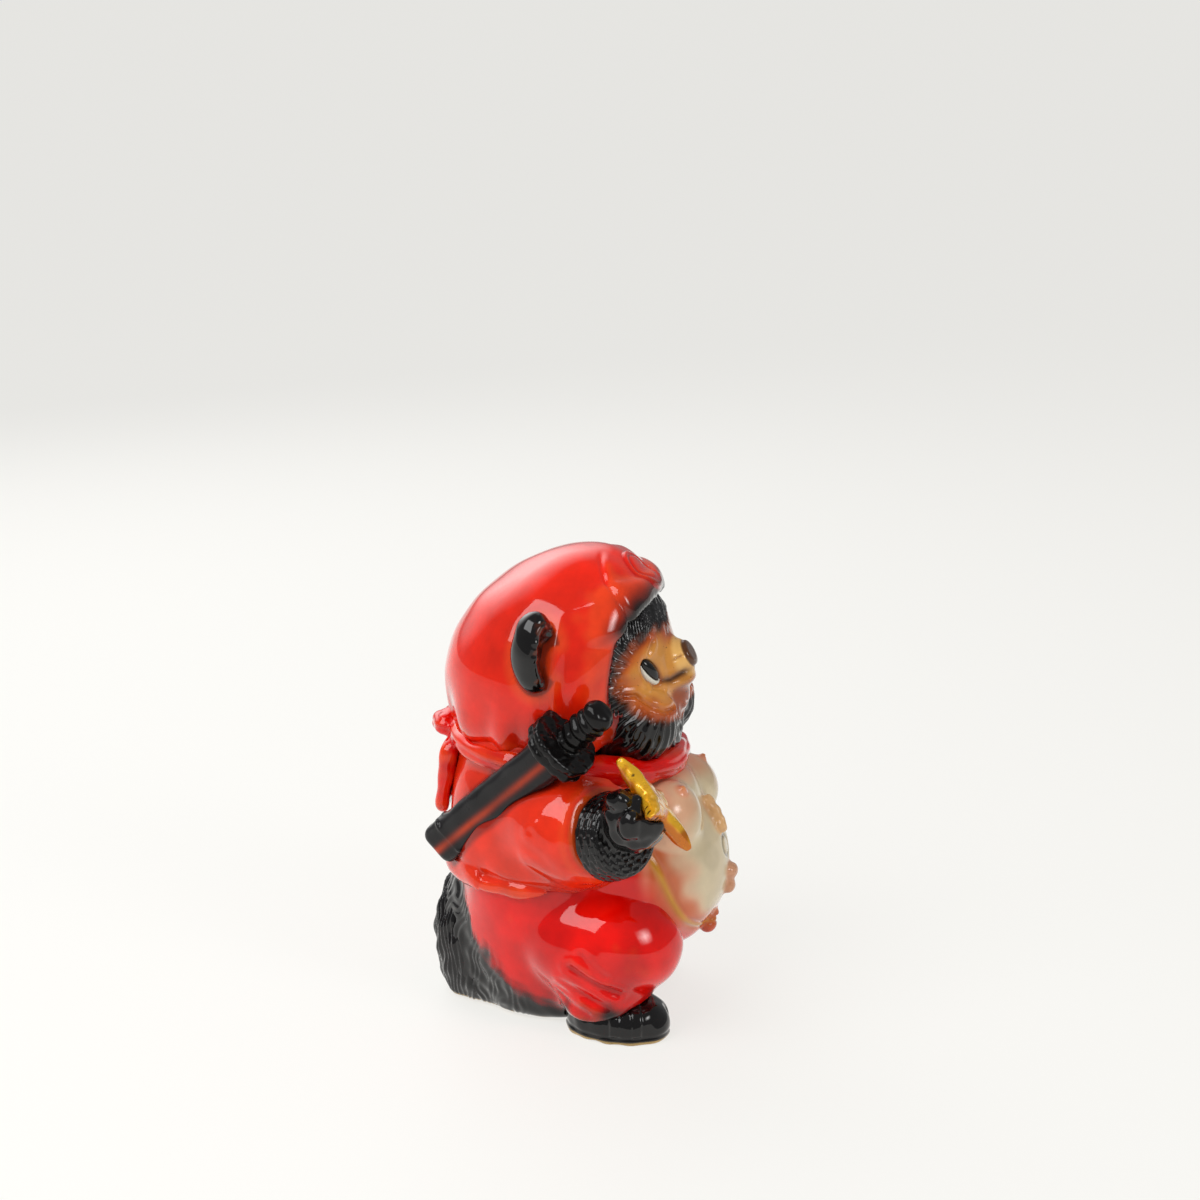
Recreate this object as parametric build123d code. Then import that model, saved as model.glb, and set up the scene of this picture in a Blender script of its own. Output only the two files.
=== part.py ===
"""Glazed ceramic tanuki figure dressed as a ninja.

Millimetres, +Z up. The figure stands on the XY plane and faces -Y, so its right side is -X.
Every piece is a clay part that is cast or pressed by itself and stuck on with slip: hollow
castings for the trousers, jacket, belly and hood, and small solid pressings for the rest.
"""
from build123d import *
from math import cos, radians, sin, sqrt
import os

RIGHT = -1
LEFT = 1
SIDES = (RIGHT, LEFT)
REARWARD = (0, 1, 0)
FORWARD = (0, -1, 0)
SIDEWAYS = (1, 0, 0)
UPWARD = (0, 0, 1)

ROUNDING = 0.9            # edge rounding of soft pieces, as a share of their half thickness

# Castings
WALL = 6.0
FLOOR = 6.0
VENT_DIAMETER = 3.6
VENT_BACK = 24.0          # vent behind the middle of the floor
NECK_BORE = 20.0          # radius of the way between body and head hollows

# Heights of the two joints between the large castings
HEM_Z = 86.0
NECK_Z = 146.0

# Trousers
BASE_HALF_WIDTH = 42.0
BASE_FRONT = 36.0
BASE_BACK = 46.0
WAIST_HALF_WIDTH = 62.0
WAIST_FRONT = 58.0
WAIST_BACK = 58.0
BODY_Y = 5.0              # body axis, behind the origin
SEAT_LEVELS = (0.25, 0.55, 1.0)      # outlines above the floor, as shares of the hem height

# Bent legs
LEG_SPREAD = 42.0
LEG_Y = -26.0
LEG_Z = 49.0
THIGH_LENGTH = 44.0       # half length, front to back
THIGH_RADIUS = 31.0
ANKLE_RADIUS = 26.0
STEP = 18.0               # how far the left leg is set back

# Feet
FOOT_HEIGHT = 19.0
FOOT_HALF_WIDTH = 22.0
FOOT_HALF_LENGTH = 29.0
FOOT_FORWARD = 9.0        # foot middle ahead of the leg middle
TOE_OUT = 14.0            # degrees
TOE_SPLIT = 2.0
TOE_SPLIT_LENGTH = 0.4 * FOOT_HALF_LENGTH
TOE_SPLIT_IN = 0.35 * FOOT_HALF_WIDTH     # split beside the big toe, from the foot's middle line
INSTEP = 0.6 * FOOT_HEIGHT                # rounding of the shoe's top

# Tail
TAIL_Y = 40.0
TAIL_Z = 32.0
TAIL_HALF_HEIGHT = 50.0
TAIL_RADIUS = 36.0

# Jacket
HEM_HALF_WIDTH = 67.0
HEM_FRONT = 64.0
HEM_BACK = 62.0
COLLAR_HALF_WIDTH = 46.0
COLLAR_FRONT = 54.0
COLLAR_BACK = 54.0
JACKET_LEVELS = (0.0, 0.35, 0.65, 0.85, 1.0)
BELT_RADIUS = 5.0

# Belly and what is stuck on it
BELLY_Y = -28.0
BELLY_Z = 80.0
BELLY_DEPTH = 58.0
BELLY_RADIUS = 53.0
CHEST_Z = 112.0
CHEST_DEPTH = 43.0
CHEST_RADIUS = 36.0
BREAST_SPREAD = 23.0
BREAST_Z = 113.0
BREAST_RADIUS = 20.0
BREAST_HALF_HEIGHT = 21.0
BREAST_SINK = 0.9 * BREAST_RADIUS         # breast middle behind the belly's front
NIPPLE_RADIUS = 3.5
NIPPLE_LENGTH = 1.2 * NIPPLE_RADIUS
NIPPLE_WAY = (0.25, -0.5, 0.85)           # outward, back and up
TUFT_RADIUS = 5.0
TUFT_WIDTH = 0.8 * TUFT_RADIUS
TUFT_DROP = 0.2 * BREAST_RADIUS           # tuft middle below the breast middles
TUFT_SWAY = 0.4 * TUFT_RADIUS             # sideways step from lump to lump
TUFT_PROUD = 0.3 * TUFT_RADIUS
NAVEL_RADIUS = 6.5
NAVEL_HALF_HEIGHT = 0.8 * NAVEL_RADIUS
NAVEL_DROP = 0.3 * NAVEL_RADIUS           # upper lobe below the belly middle
NAVEL_PITCH = 1.3 * NAVEL_RADIUS          # lower lobe below the upper one
NAVEL_LOWER_RADIUS = 0.9 * NAVEL_RADIUS
KNOB_RADIUS = 5.5
KNOB_HALF_HEIGHT = 1.1 * KNOB_RADIUS
KNOB_DROP = 0.62 * BELLY_RADIUS           # knob below the belly middle
KNOB_PROUD = 1.0
LUMP_SHARE = 0.6                          # smaller lump above the knob
LUMP_PITCH = 1.2 * KNOB_RADIUS

# Sleeves and arms
SLEEVE_OUT = 50.0
SLEEVE_Y = -10.0
SLEEVE_Z = 113.0
SLEEVE_LENGTH = 41.0
SLEEVE_RADIUS = 30.0
CUFF_REACH = 27.0         # sleeve middle to the sleeve mouth
FOREARM_RADIUS = 24.0
FOREARM_LENGTH = 14.0
WRIST_RADIUS = 0.86 * FOREARM_RADIUS
PAW_RADIUS = 16.0
PAW_HALF_LENGTH = 1.1 * PAW_RADIUS
FINGER_RADIUS = 6.0
FINGER_HALF_HEIGHT = 1.3 * FINGER_RADIUS
FINGER_PITCH = 1.2 * FINGER_RADIUS
KNUCKLE_REACH = 0.6 * PAW_RADIUS          # knuckles ahead of the paw middle
THUMB_HALF_LENGTH = 1.4 * FINGER_RADIUS
THUMB_IN = 0.6 * PAW_RADIUS
THUMB_UP = 0.75 * PAW_RADIUS
PAW_REACH = 6.0           # wrist to the paw middle
PAW_LIFT = 9.0            # right paw raised above its forearm
LEFT_ARM_BACK = 12.0      # left arm set back from the right one
RIGHT_SLEEVE_WAY = (0.45, -0.88, 0.05)    # outward, back and up, for each arm piece
RIGHT_FOREARM_WAY = (0.57, -0.78, 0.25)
LEFT_SLEEVE_WAY = (0.35, -0.93, -0.1)
LEFT_FOREARM_WAY = (0.1, -0.98, -0.15)

# Throwing star
STAR_REACH = 31.0
STAR_WAIST = 11.0         # inner corners, from the star middle
STAR_THICKNESS = 9.5
STAR_BEVEL = 0.3 * STAR_THICKNESS
STAR_TILT = 38.0          # degrees, star face turned up from straight ahead
STAR_TURN = 16.0          # degrees, star face turned in towards the belly
STAR_AHEAD = 13.0         # star middle ahead of the paw middle

# Sword
SCABBARD_WIDTH = 23.0
SCABBARD_DEPTH = 15.0
SCABBARD_LENGTH = 100.0
SCABBARD_ROUNDING = 0.3 * SCABBARD_DEPTH
CORNER_SHARE = 0.4        # corner rounding of the sword's sections, as a share of their depth
BAND_LENGTH = 5.0
BAND_START = 2.5 * BAND_LENGTH            # from the scabbard foot
BAND_PROUD = 1.6
GUARD_SIZE = 36.0
GUARD_THICKNESS = 10.0
GUARD_ROUNDING = 0.2 * GUARD_THICKNESS
GUARD_OUT = 9.0           # sword axis outside the hood flank at the guard
GUARD_UP = 13.0           # guard above the neck joint
GUARD_Y = -7.0
SCABBARD_FOOT_X = -38.0
SCABBARD_FOOT_RISE = 3.0  # scabbard foot above the jacket hem
HILT_RADIUS = 8.0
HILT_LENGTH = 22.0
HILT_CORE_RADIUS = 0.9 * HILT_RADIUS
HILT_TURNS = 4
HILT_PITCH = HILT_LENGTH / HILT_TURNS
HILT_BAND = 0.6 * HILT_PITCH
CAP_RADIUS = 1.05 * HILT_RADIUS
CAP_LENGTH = 8.0
CAP_ROUNDING = 0.7 * CAP_LENGTH

# Hood
HOOD_HEIGHT = 106.0       # neck joint to crown
HOOD_MIDDLE = 36.0        # neck joint to the widest level
HOOD_HALF_WIDTH = 61.0
HOOD_FRONT = 55.0
HOOD_BACK = 58.0
HOOD_Y = 9.0
HOOD_LOWER = 60.0         # half height of the lower part, cut off at the neck
CROWN_LEAN = 22.0         # crown ahead of the hood middle
MEDALLION_RADIUS = 11.0
MEDALLION_PROUD = 1.4
MEDALLION_WAY = (0.0, -0.66, 0.75)
CROWN_ANGLES = (25.0, 45.0, 62.0, 75.0, 84.0)   # outlines between the widest level and the crown

# Face, all heights above the neck joint
FACE_Y = -14.0
FACE_TOP = 84.0
FACE_HALF_WIDTH = 47.0
FACE_MIDDLE = 39.0
FACE_HALF_HEIGHT = 60.0
FACE_DEPTH = 45.0
FACE_SEAT = 8.0           # how far the face reaches back behind its widest line
CHEEK_UP = 18.0
CHEEK_SPREAD = 22.0
CHEEK_RADIUS = 20.0
CHEEK_HALF_HEIGHT = 21.0
CHEEK_SINK = 0.6 * CHEEK_RADIUS           # cheek middle behind the face's surface
FACE_LEVELS = (0.0, 0.25, 0.5, 0.75, 1.0)
FACE_SLOPE = 80.0         # half height of the face profile's long curve
SNOUT_UP = 43.0
SNOUT_ROOT_RADIUS = 14.0
SNOUT_TIP_RADIUS = 7.5
SNOUT_LENGTH = 7.0
SNOUT_TILT = 30.0         # degrees, turned up
NOSE_PAD_DEPTH = 3.0
NOSE_PAD_ROUNDING = 0.6 * NOSE_PAD_DEPTH
CHIN_UP = 28.0
CHIN_RADIUS = 15.0
CHIN_HALF_HEIGHT = 14.0
CHIN_SINK = 0.7 * CHIN_RADIUS
EYE_UP = 46.0
EYE_SPREAD = 26.0
EYE_LENGTH = 9.0
EYE_WIDTH = 4.6
EYE_BULGE = 3.0
EYE_SINK = 3.0            # eye middle behind the face
EYE_WAY = (0.5, -0.84, 0.22)            # outward, back and up
SOCKET_RADIUS = 11.0
SOCKET_HALF_WIDTH = 0.7 * SOCKET_RADIUS
SOCKET_DEPTH = 1.5 * EYE_SINK
SOCKET_LIFT = 1.4 * EYE_SINK
EYE_SLANT = 50.0          # degrees, outer corner raised
LID_WHITE = 1.0           # white left along the lower lid

# Ears
EAR_UP = 62.0
EAR_Y = 5.0
EAR_HALF_HEIGHT = 22.0
EAR_RADIUS = 12.0
EAR_PROUD = 3.0           # ear middle outside the hood flank
EAR_WALL = 4.0

# Scarf
SCARF_RADIUS = 7.0
SCARF_TILT = 5.0          # degrees, front lower than the back
SCARF_OUT = 3.0           # roll middle outside the hood's foot, at the back and sides
SCARF_THROAT = 56.0       # roll middle at the throat, ahead of the origin
KNOT_HALF_WIDTH = 13.0
KNOT_RADIUS = 8.0
KNOT_HALF_DEPTH = 9.5
LOOP_OUT = 0.6 * KNOT_HALF_WIDTH
LOOP_RADIUS = 0.8 * KNOT_RADIUS
LOOP_RISE = 1.0
LOOP_WAY = (1.0, 0.0, 0.5)                # outward, back and up
KNOT_OUT = 2.0            # knot middle behind the scarf
SCARF_END_LENGTH = 44.0
SCARF_END_WIDTH = 20.0
SCARF_END_THICKNESS = 8.0
SCARF_END_CORNER = 0.4 * SCARF_END_WIDTH
SCARF_END_ROUNDING = 0.4 * SCARF_END_THICKNESS
SCARF_END_OUT = 0.62 * SCARF_END_WIDTH
SCARF_END_SPLAY = 8.0     # degrees
SCARF_END_LEAN = 8.0      # degrees, lower end further back, as the jacket slopes


def spheroid(center, along, around, axis=UPWARD, seam=None):
    """Ball drawn out to a half length along its axis. The surface closes on itself on the seam side."""
    arc = EllipticalCenterArc((0, 0), around, along, start_angle=-90, arc_size=180)
    half = make_face([arc, Line(arc @ 1, arc @ 0)])
    return Plane(origin=center, x_dir=seam, z_dir=axis) * (Rot(90, 0, 0) * revolve(half, axis=Axis.Y))


def ring(z, half_width, middle, front, back):
    """Level outline of a casting: one half ellipse towards the front, one towards the back."""
    rear = EllipticalCenterArc((0, middle), half_width, back, start_angle=0, arc_size=180)
    fore = EllipticalCenterArc((0, middle), half_width, front, start_angle=180, arc_size=180)
    return Pos(0, 0, z) * make_face([rear, fore])


def mix(low, high, share):
    return low + (high - low) * share


def trimmed(form, *hosts):
    """Form cut back to the surfaces of the pieces it is stuck on."""
    for host in hosts:
        form = form - host
    return max(form.solids(), key=lambda solid: solid.volume)


def direction(*parts):
    return Vector(*parts).normalized()


def sided(way, side):
    """Direction given for the left side, turned to the side it is used on."""
    return direction(side * way[0], way[1], way[2])


# Trousers

def seat_rings(inset=0.0, bottom=0.0):
    rings = []
    for z in (bottom, *(share * HEM_Z for share in SEAT_LEVELS)):
        share = 1 - (1 - z / HEM_Z) ** 2
        rings.append(ring(
            z,
            mix(BASE_HALF_WIDTH, WAIST_HALF_WIDTH, share) - inset,
            BODY_Y,
            mix(BASE_FRONT, WAIST_FRONT, share) - inset,
            mix(BASE_BACK, WAIST_BACK, share) - inset))
    return rings


def leg_place(side):
    return side * LEG_SPREAD, LEG_Y + (STEP if side == LEFT else 0)


def thigh_form(side, inset=0.0):
    x, y = leg_place(side)
    return spheroid((x, y, LEG_Z), THIGH_LENGTH - inset, THIGH_RADIUS - inset, (0, 1, 0))


def leg_form(side):
    """Bent leg: bulging thigh and knee, with the shin going down into the shoe."""
    x, y = leg_place(side)
    knee = Pos(x, y, LEG_Z) * Circle(THIGH_RADIUS - WALL)
    ankle = Pos(x, y - FOOT_FORWARD / 2, FOOT_HEIGHT / 2) * Circle(ANKLE_RADIUS)
    return thigh_form(side) + loft([ankle, knee])


def foot_form(side):
    """Shoe with a domed top and the split beside the big toe."""
    x, y = leg_place(side)
    sole = extrude(Ellipse(FOOT_HALF_WIDTH, FOOT_HALF_LENGTH), FOOT_HEIGHT)
    shoe = fillet(sole.faces().sort_by(Axis.Z)[-1].edges(), INSTEP)
    split = Box(TOE_SPLIT, TOE_SPLIT_LENGTH, 2 * FOOT_HEIGHT)
    shoe = shoe - Pos(-side * TOE_SPLIT_IN, -FOOT_HALF_LENGTH, FOOT_HEIGHT) * split
    return Pos(x, y - FOOT_FORWARD, 0) * Rot(0, 0, side * TOE_OUT) * shoe


def floor_form():
    return extrude(ring(0, BASE_HALF_WIDTH - WALL, BODY_Y, BASE_FRONT - WALL, BASE_BACK - WALL), FLOOR)


def vent_form():
    return Pos(0, VENT_BACK, FLOOR / 2) * Cylinder(VENT_DIAMETER / 2, 2 * FLOOR)


def tail_form():
    """Bushy tail standing on the table, cut flat there."""
    brush = spheroid((0, TAIL_Y, TAIL_Z), TAIL_HALF_HEIGHT, TAIL_RADIUS)
    above = Pos(0, TAIL_Y, TAIL_HALF_HEIGHT) * Box(4 * TAIL_RADIUS, 4 * TAIL_RADIUS, 2 * TAIL_HALF_HEIGHT)
    return brush & above


# Jacket and belly

def jacket_rings(inset=0.0, top=NECK_Z):
    rings = []
    height = top - HEM_Z
    for share in JACKET_LEVELS:
        ease = share ** 2
        rings.append(ring(
            HEM_Z + share * height,
            mix(HEM_HALF_WIDTH, COLLAR_HALF_WIDTH, ease) - inset,
            BODY_Y,
            mix(HEM_FRONT, COLLAR_FRONT, ease) - inset,
            mix(HEM_BACK, COLLAR_BACK, ease) - inset))
    return rings


def belly_form(inset=0.0):
    belly = spheroid((0, BELLY_Y, BELLY_Z), BELLY_DEPTH - inset, BELLY_RADIUS - inset, (0, 1, 0))
    chest = spheroid((0, BELLY_Y, CHEST_Z), CHEST_DEPTH - inset, CHEST_RADIUS - inset, (0, 1, 0))
    return belly + chest


def belly_front(z):
    """Y of the belly's surface on the middle line at a height."""
    return BELLY_Y - BELLY_DEPTH * sqrt(1 - ((z - BELLY_Z) / BELLY_RADIUS) ** 2)


def breast_middle(side):
    return Vector(side * BREAST_SPREAD, belly_front(BREAST_Z) + BREAST_SINK, BREAST_Z)


def breast_form(side):
    return spheroid(breast_middle(side), BREAST_HALF_HEIGHT, BREAST_RADIUS, seam=REARWARD)


def nipple_form(side):
    outward = sided(NIPPLE_WAY, side)
    return spheroid(breast_middle(side) + outward * BREAST_RADIUS, NIPPLE_LENGTH, NIPPLE_RADIUS, outward)


def tuft_form():
    """Little row of hair lumps between the breasts."""
    lumps = []
    for step in (-1, 0, 1):
        z = BREAST_Z - TUFT_DROP + step * TUFT_RADIUS
        center = (step * TUFT_SWAY, belly_front(z) - TUFT_PROUD, z)
        lumps.append(spheroid(center, TUFT_RADIUS, TUFT_WIDTH, seam=REARWARD))
    return lumps[0] + lumps[1] + lumps[2]


def navel_form():
    """Two stacked lobes standing out of the belly."""
    upper = BELLY_Z - NAVEL_DROP
    lower = upper - NAVEL_PITCH
    lobes = []
    for z, half_width in ((upper, NAVEL_RADIUS), (lower, NAVEL_LOWER_RADIUS)):
        lobes.append(spheroid((0, belly_front(z), z), half_width, NAVEL_HALF_HEIGHT, SIDEWAYS, REARWARD))
    return lobes[0] + lobes[1]


def knob_form():
    """Knob low on the belly, with a smaller lump above it."""
    low = BELLY_Z - KNOB_DROP
    high = low + LUMP_PITCH
    knob_middle = (0, belly_front(low) - KNOB_PROUD, low)
    knob = spheroid(knob_middle, KNOB_HALF_HEIGHT, KNOB_RADIUS, seam=REARWARD)
    lump_middle = (0, belly_front(high), high)
    return knob + spheroid(lump_middle, LUMP_SHARE * KNOB_HALF_HEIGHT, LUMP_SHARE * KNOB_RADIUS, seam=REARWARD)


# Hood and face

def hood_shape(up):
    """Share of the full size, and middle line, at a height above the neck joint."""
    rise = up - HOOD_MIDDLE
    half = HOOD_HEIGHT - HOOD_MIDDLE if rise > 0 else HOOD_LOWER
    share = sqrt(max(0.0, 1 - (rise / half) ** 2))
    lean = CROWN_LEAN * (rise / half) ** 2 if rise > 0 else 0.0
    return share, HOOD_Y - lean


def hood_rings(inset=0.0, front_inset=0.0, bottom=0.0):
    rings = []
    rise = HOOD_HEIGHT - HOOD_MIDDLE
    ups = [bottom, HOOD_MIDDLE / 2, HOOD_MIDDLE]
    ups += [HOOD_MIDDLE + rise * sin(radians(angle)) for angle in CROWN_ANGLES]
    for up in ups:
        share, middle = hood_shape(up)
        level = mix(up, HOOD_MIDDLE, 2 * inset / HOOD_HEIGHT)
        rings.append(ring(
            NECK_Z + level,
            (HOOD_HALF_WIDTH - inset) * share,
            middle,
            (HOOD_FRONT - inset - front_inset) * share,
            (HOOD_BACK - inset) * share))
    return rings


def hood_flank(up):
    return HOOD_HALF_WIDTH * hood_shape(up)[0]


def face_front(x, up):
    """Y of the face's surface."""
    half_width = FACE_HALF_WIDTH * sqrt(1 - ((up - FACE_MIDDLE) / FACE_HALF_HEIGHT) ** 2)
    depth = FACE_DEPTH * sqrt(1 - ((up - CHEEK_UP) / FACE_SLOPE) ** 2)
    return FACE_Y - depth * sqrt(1 - (x / half_width) ** 2)


def face_form():
    rings = []
    for share in FACE_LEVELS:
        up = share * FACE_TOP
        half_width = FACE_HALF_WIDTH * sqrt(1 - ((up - FACE_MIDDLE) / FACE_HALF_HEIGHT) ** 2)
        rings.append(ring(NECK_Z + up, half_width, FACE_Y, FACE_Y - face_front(0, up), FACE_SEAT))
    face = loft(rings)
    for side in SIDES:
        cheek_y = face_front(CHEEK_SPREAD, CHEEK_UP) + CHEEK_SINK
        face = face + spheroid((side * CHEEK_SPREAD, cheek_y, NECK_Z + CHEEK_UP),
                               CHEEK_HALF_HEIGHT, CHEEK_RADIUS, seam=REARWARD)
    return face


def chin_form():
    y = face_front(0, CHIN_UP) + CHIN_SINK
    return spheroid((0, y, NECK_Z + CHIN_UP), CHIN_HALF_HEIGHT, CHIN_RADIUS, seam=REARWARD)


def medallion_form():
    """Round boss on the front of the crown, following its curve."""
    up = HOOD_HEIGHT - MEDALLION_RADIUS
    share, middle = hood_shape(up)
    seat = Vector(0, middle - HOOD_FRONT * share, NECK_Z + up)
    plane = Plane(origin=seat, z_dir=direction(*MEDALLION_WAY))
    disc = plane * extrude(Circle(MEDALLION_RADIUS), MEDALLION_RADIUS, both=True)
    return disc & loft(hood_rings(-MEDALLION_PROUD))


def eye_plane(side):
    """Eye socket frame: X along the slanted eye, Z out of the face."""
    x = side * EYE_SPREAD
    outward = sided(EYE_WAY, side)
    origin = Vector(x, face_front(x, EYE_UP), NECK_Z + EYE_UP) - outward * EYE_SINK
    slant = radians(EYE_SLANT)
    return Plane(origin=origin, x_dir=(side * cos(slant), 0, sin(slant)), z_dir=outward)


def socket_form(side):
    """Shallow hollow in the face round the eye."""
    bowl = scale(Sphere(1), by=(SOCKET_RADIUS, SOCKET_HALF_WIDTH, SOCKET_DEPTH))
    return eye_plane(side) * (Pos(0, 0, SOCKET_LIFT) * bowl)


def eye_form(side):
    return eye_plane(side) * scale(Sphere(1), by=(EYE_LENGTH, EYE_WIDTH, EYE_BULGE))


def pupil_form(side):
    """Dark of the eye, set high so that white shows along the lower lid alone."""
    lens = scale(Sphere(1), by=(EYE_LENGTH - LID_WHITE, EYE_WIDTH - LID_WHITE, EYE_BULGE))
    return eye_plane(side) * (Pos(LID_WHITE, side * LID_WHITE, LID_WHITE / 2) * lens)


def snout_forms():
    """Upturned muzzle and the pad on its end."""
    tilt = radians(SNOUT_TILT)
    axis = direction(0, -cos(tilt), sin(tilt))
    root = Vector(0, face_front(0, SNOUT_UP) + SNOUT_ROOT_RADIUS / 2, NECK_Z + SNOUT_UP)
    tip = root + axis * (SNOUT_LENGTH + SNOUT_ROOT_RADIUS / 2)
    sections = [
        Plane(origin=root, z_dir=axis) * Circle(SNOUT_ROOT_RADIUS),
        Plane(origin=tip, z_dir=axis) * Circle(SNOUT_TIP_RADIUS)]
    pad = Plane(origin=tip, z_dir=axis) * extrude(Circle(SNOUT_TIP_RADIUS), NOSE_PAD_DEPTH)
    pad = fillet(pad.edges().sort_by(Axis(tip, axis))[-1], NOSE_PAD_ROUNDING)
    return loft(sections), pad


def ear_form(side):
    """Half-round cup, open to the front."""
    x = side * (hood_flank(EAR_UP) + EAR_PROUD)
    z = NECK_Z + EAR_UP
    inward = (-side, 0, 0)
    cup = spheroid((x, EAR_Y, z), EAR_HALF_HEIGHT, EAR_RADIUS, seam=inward)
    hollow = spheroid((x + side * EAR_WALL, EAR_Y - EAR_RADIUS, z),
                      EAR_HALF_HEIGHT - EAR_WALL, EAR_RADIUS - EAR_WALL / 2, seam=inward)
    return cup - hollow


# Arms

class Arm:
    """Places along one arm, from the sleeve to the paw."""

    def __init__(self, side, sleeve_way, forearm_way, paw_lift, set_back):
        self.side = side
        self.sleeve_axis = sided(sleeve_way, side)
        self.forearm_axis = sided(forearm_way, side)
        self.middle = Vector(side * SLEEVE_OUT, SLEEVE_Y + set_back, SLEEVE_Z)
        self.mouth = self.middle + self.sleeve_axis * CUFF_REACH
        self.wrist = self.mouth + self.forearm_axis * FOREARM_LENGTH
        self.paw = self.wrist + self.forearm_axis * PAW_REACH + Vector(0, 0, paw_lift)

    def sleeve_form(self):
        sleeve = spheroid(self.middle, SLEEVE_LENGTH, SLEEVE_RADIUS, self.sleeve_axis)
        beyond = Plane(origin=self.mouth, z_dir=self.forearm_axis) * extrude(
            Circle(2 * SLEEVE_RADIUS), SLEEVE_LENGTH)
        return sleeve - beyond

    def forearm_form(self):
        sections = [
            Plane(origin=self.mouth, z_dir=self.forearm_axis) * Circle(FOREARM_RADIUS),
            Plane(origin=self.wrist, z_dir=self.forearm_axis) * Circle(WRIST_RADIUS)]
        return loft(sections)

    def paw_form(self):
        """Fist with four knuckles and a thumb."""
        paw = spheroid(self.paw, PAW_HALF_LENGTH, PAW_RADIUS, self.forearm_axis)
        across = self.forearm_axis.cross(Vector(0, 0, 1)).normalized()
        front = self.paw + self.forearm_axis * KNUCKLE_REACH
        for finger in (-1.5, -0.5, 0.5, 1.5):
            knuckle = front + across * (finger * FINGER_PITCH)
            paw = paw + spheroid(knuckle, FINGER_HALF_HEIGHT, FINGER_RADIUS)
        thumb = self.paw - across * (self.side * THUMB_IN) + Vector(0, 0, THUMB_UP)
        return paw + spheroid(thumb, THUMB_HALF_LENGTH, FINGER_RADIUS, self.forearm_axis)


RIGHT_ARM = Arm(RIGHT, RIGHT_SLEEVE_WAY, RIGHT_FOREARM_WAY, PAW_LIFT, 0.0)
LEFT_ARM = Arm(LEFT, LEFT_SLEEVE_WAY, LEFT_FOREARM_WAY, 0.0, LEFT_ARM_BACK)


def star_form():
    """Four-pointed star whose faces fall away from the middle to the points."""
    tilt = radians(STAR_TILT)
    turn = radians(STAR_TURN)
    facing = direction(cos(tilt) * sin(turn), -cos(tilt) * cos(turn), sin(tilt))
    points = []
    for corner in range(8):
        angle = radians(45 * corner)
        reach = STAR_REACH if corner % 2 == 0 else STAR_WAIST
        points.append((reach * cos(angle), reach * sin(angle)))
    outline = make_face(Polyline(*points, close=True))
    plate = extrude(outline, STAR_THICKNESS / 2, both=True)
    plate = chamfer(plate.edges().filter_by(Plane.XY), STAR_BEVEL)
    across = Vector(1, 0, 0)
    middle = RIGHT_ARM.paw + facing * STAR_AHEAD
    return Plane(origin=middle, x_dir=across, z_dir=facing) * plate


# Sword

class Sword:
    """Axis of the slung sword, from the scabbard foot up to the hilt."""

    def __init__(self):
        foot = Vector(SCABBARD_FOOT_X, BODY_Y + HEM_BACK, HEM_Z + SCABBARD_FOOT_RISE)
        self.guard = Vector(RIGHT * (hood_flank(GUARD_UP) + GUARD_OUT), GUARD_Y, NECK_Z + GUARD_UP)
        self.axis = (self.guard - foot).normalized()

    def section(self, along, width, depth):
        outward = Vector(-1, 0, 0)
        across = self.axis.cross(outward).normalized()
        plane = Plane(origin=self.guard + self.axis * along, x_dir=across, z_dir=self.axis)
        return plane * RectangleRounded(width, depth, depth * CORNER_SHARE)

    def prism(self, start, length, width, depth):
        return extrude(self.section(start, width, depth), length, dir=self.axis)


SWORD = Sword()


def scabbard_form():
    body = SWORD.prism(-SCABBARD_LENGTH, SCABBARD_LENGTH, SCABBARD_WIDTH, SCABBARD_DEPTH)
    foot = body.faces().sort_by(Axis(SWORD.guard, SWORD.axis))[0]
    return fillet(foot.edges(), SCABBARD_ROUNDING)


def band_form():
    return SWORD.prism(BAND_START - SCABBARD_LENGTH, BAND_LENGTH, SCABBARD_WIDTH + 2 * BAND_PROUD,
                       SCABBARD_DEPTH + 2 * BAND_PROUD)


def guard_form():
    plate = SWORD.prism(0, GUARD_THICKNESS, GUARD_SIZE, GUARD_SIZE)
    lines = plate.edges().filter_by(GeomType.LINE).sort_by(Axis(SWORD.guard, SWORD.axis))
    return fillet(lines[:4], GUARD_ROUNDING)


def hilt_form():
    """Wrapped grip: a plain round core with raised bands."""
    plane = Plane(origin=SWORD.guard + SWORD.axis * GUARD_THICKNESS, z_dir=SWORD.axis)
    grip = extrude(Circle(HILT_CORE_RADIUS), HILT_LENGTH)
    for turn in range(HILT_TURNS):
        grip = grip + Pos(0, 0, HILT_PITCH * turn) * extrude(Circle(HILT_RADIUS), HILT_BAND)
    return plane * grip


def cap_form():
    start = GUARD_THICKNESS + HILT_LENGTH
    plane = Plane(origin=SWORD.guard + SWORD.axis * start, z_dir=SWORD.axis)
    cap = extrude(Circle(CAP_RADIUS), CAP_LENGTH)
    return plane * fillet(cap.edges().sort_by(Axis.Z)[-1], CAP_ROUNDING)


# Hollows

def hollow_forms():
    """Space inside the body castings, and inside the head, open to each other at the neck."""
    neck_way = Pos(0, HOOD_Y, NECK_Z) * Cylinder(NECK_BORE, 4 * WALL)
    body = loft(seat_rings(WALL, FLOOR)) + loft(jacket_rings(WALL, NECK_Z - WALL)) + belly_form(WALL)
    for side in SIDES:
        body = body + thigh_form(side, WALL)
    head = loft(hood_rings(WALL, 2 * WALL, WALL))
    return body + neck_way, head + neck_way


# Scarf and belt

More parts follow.
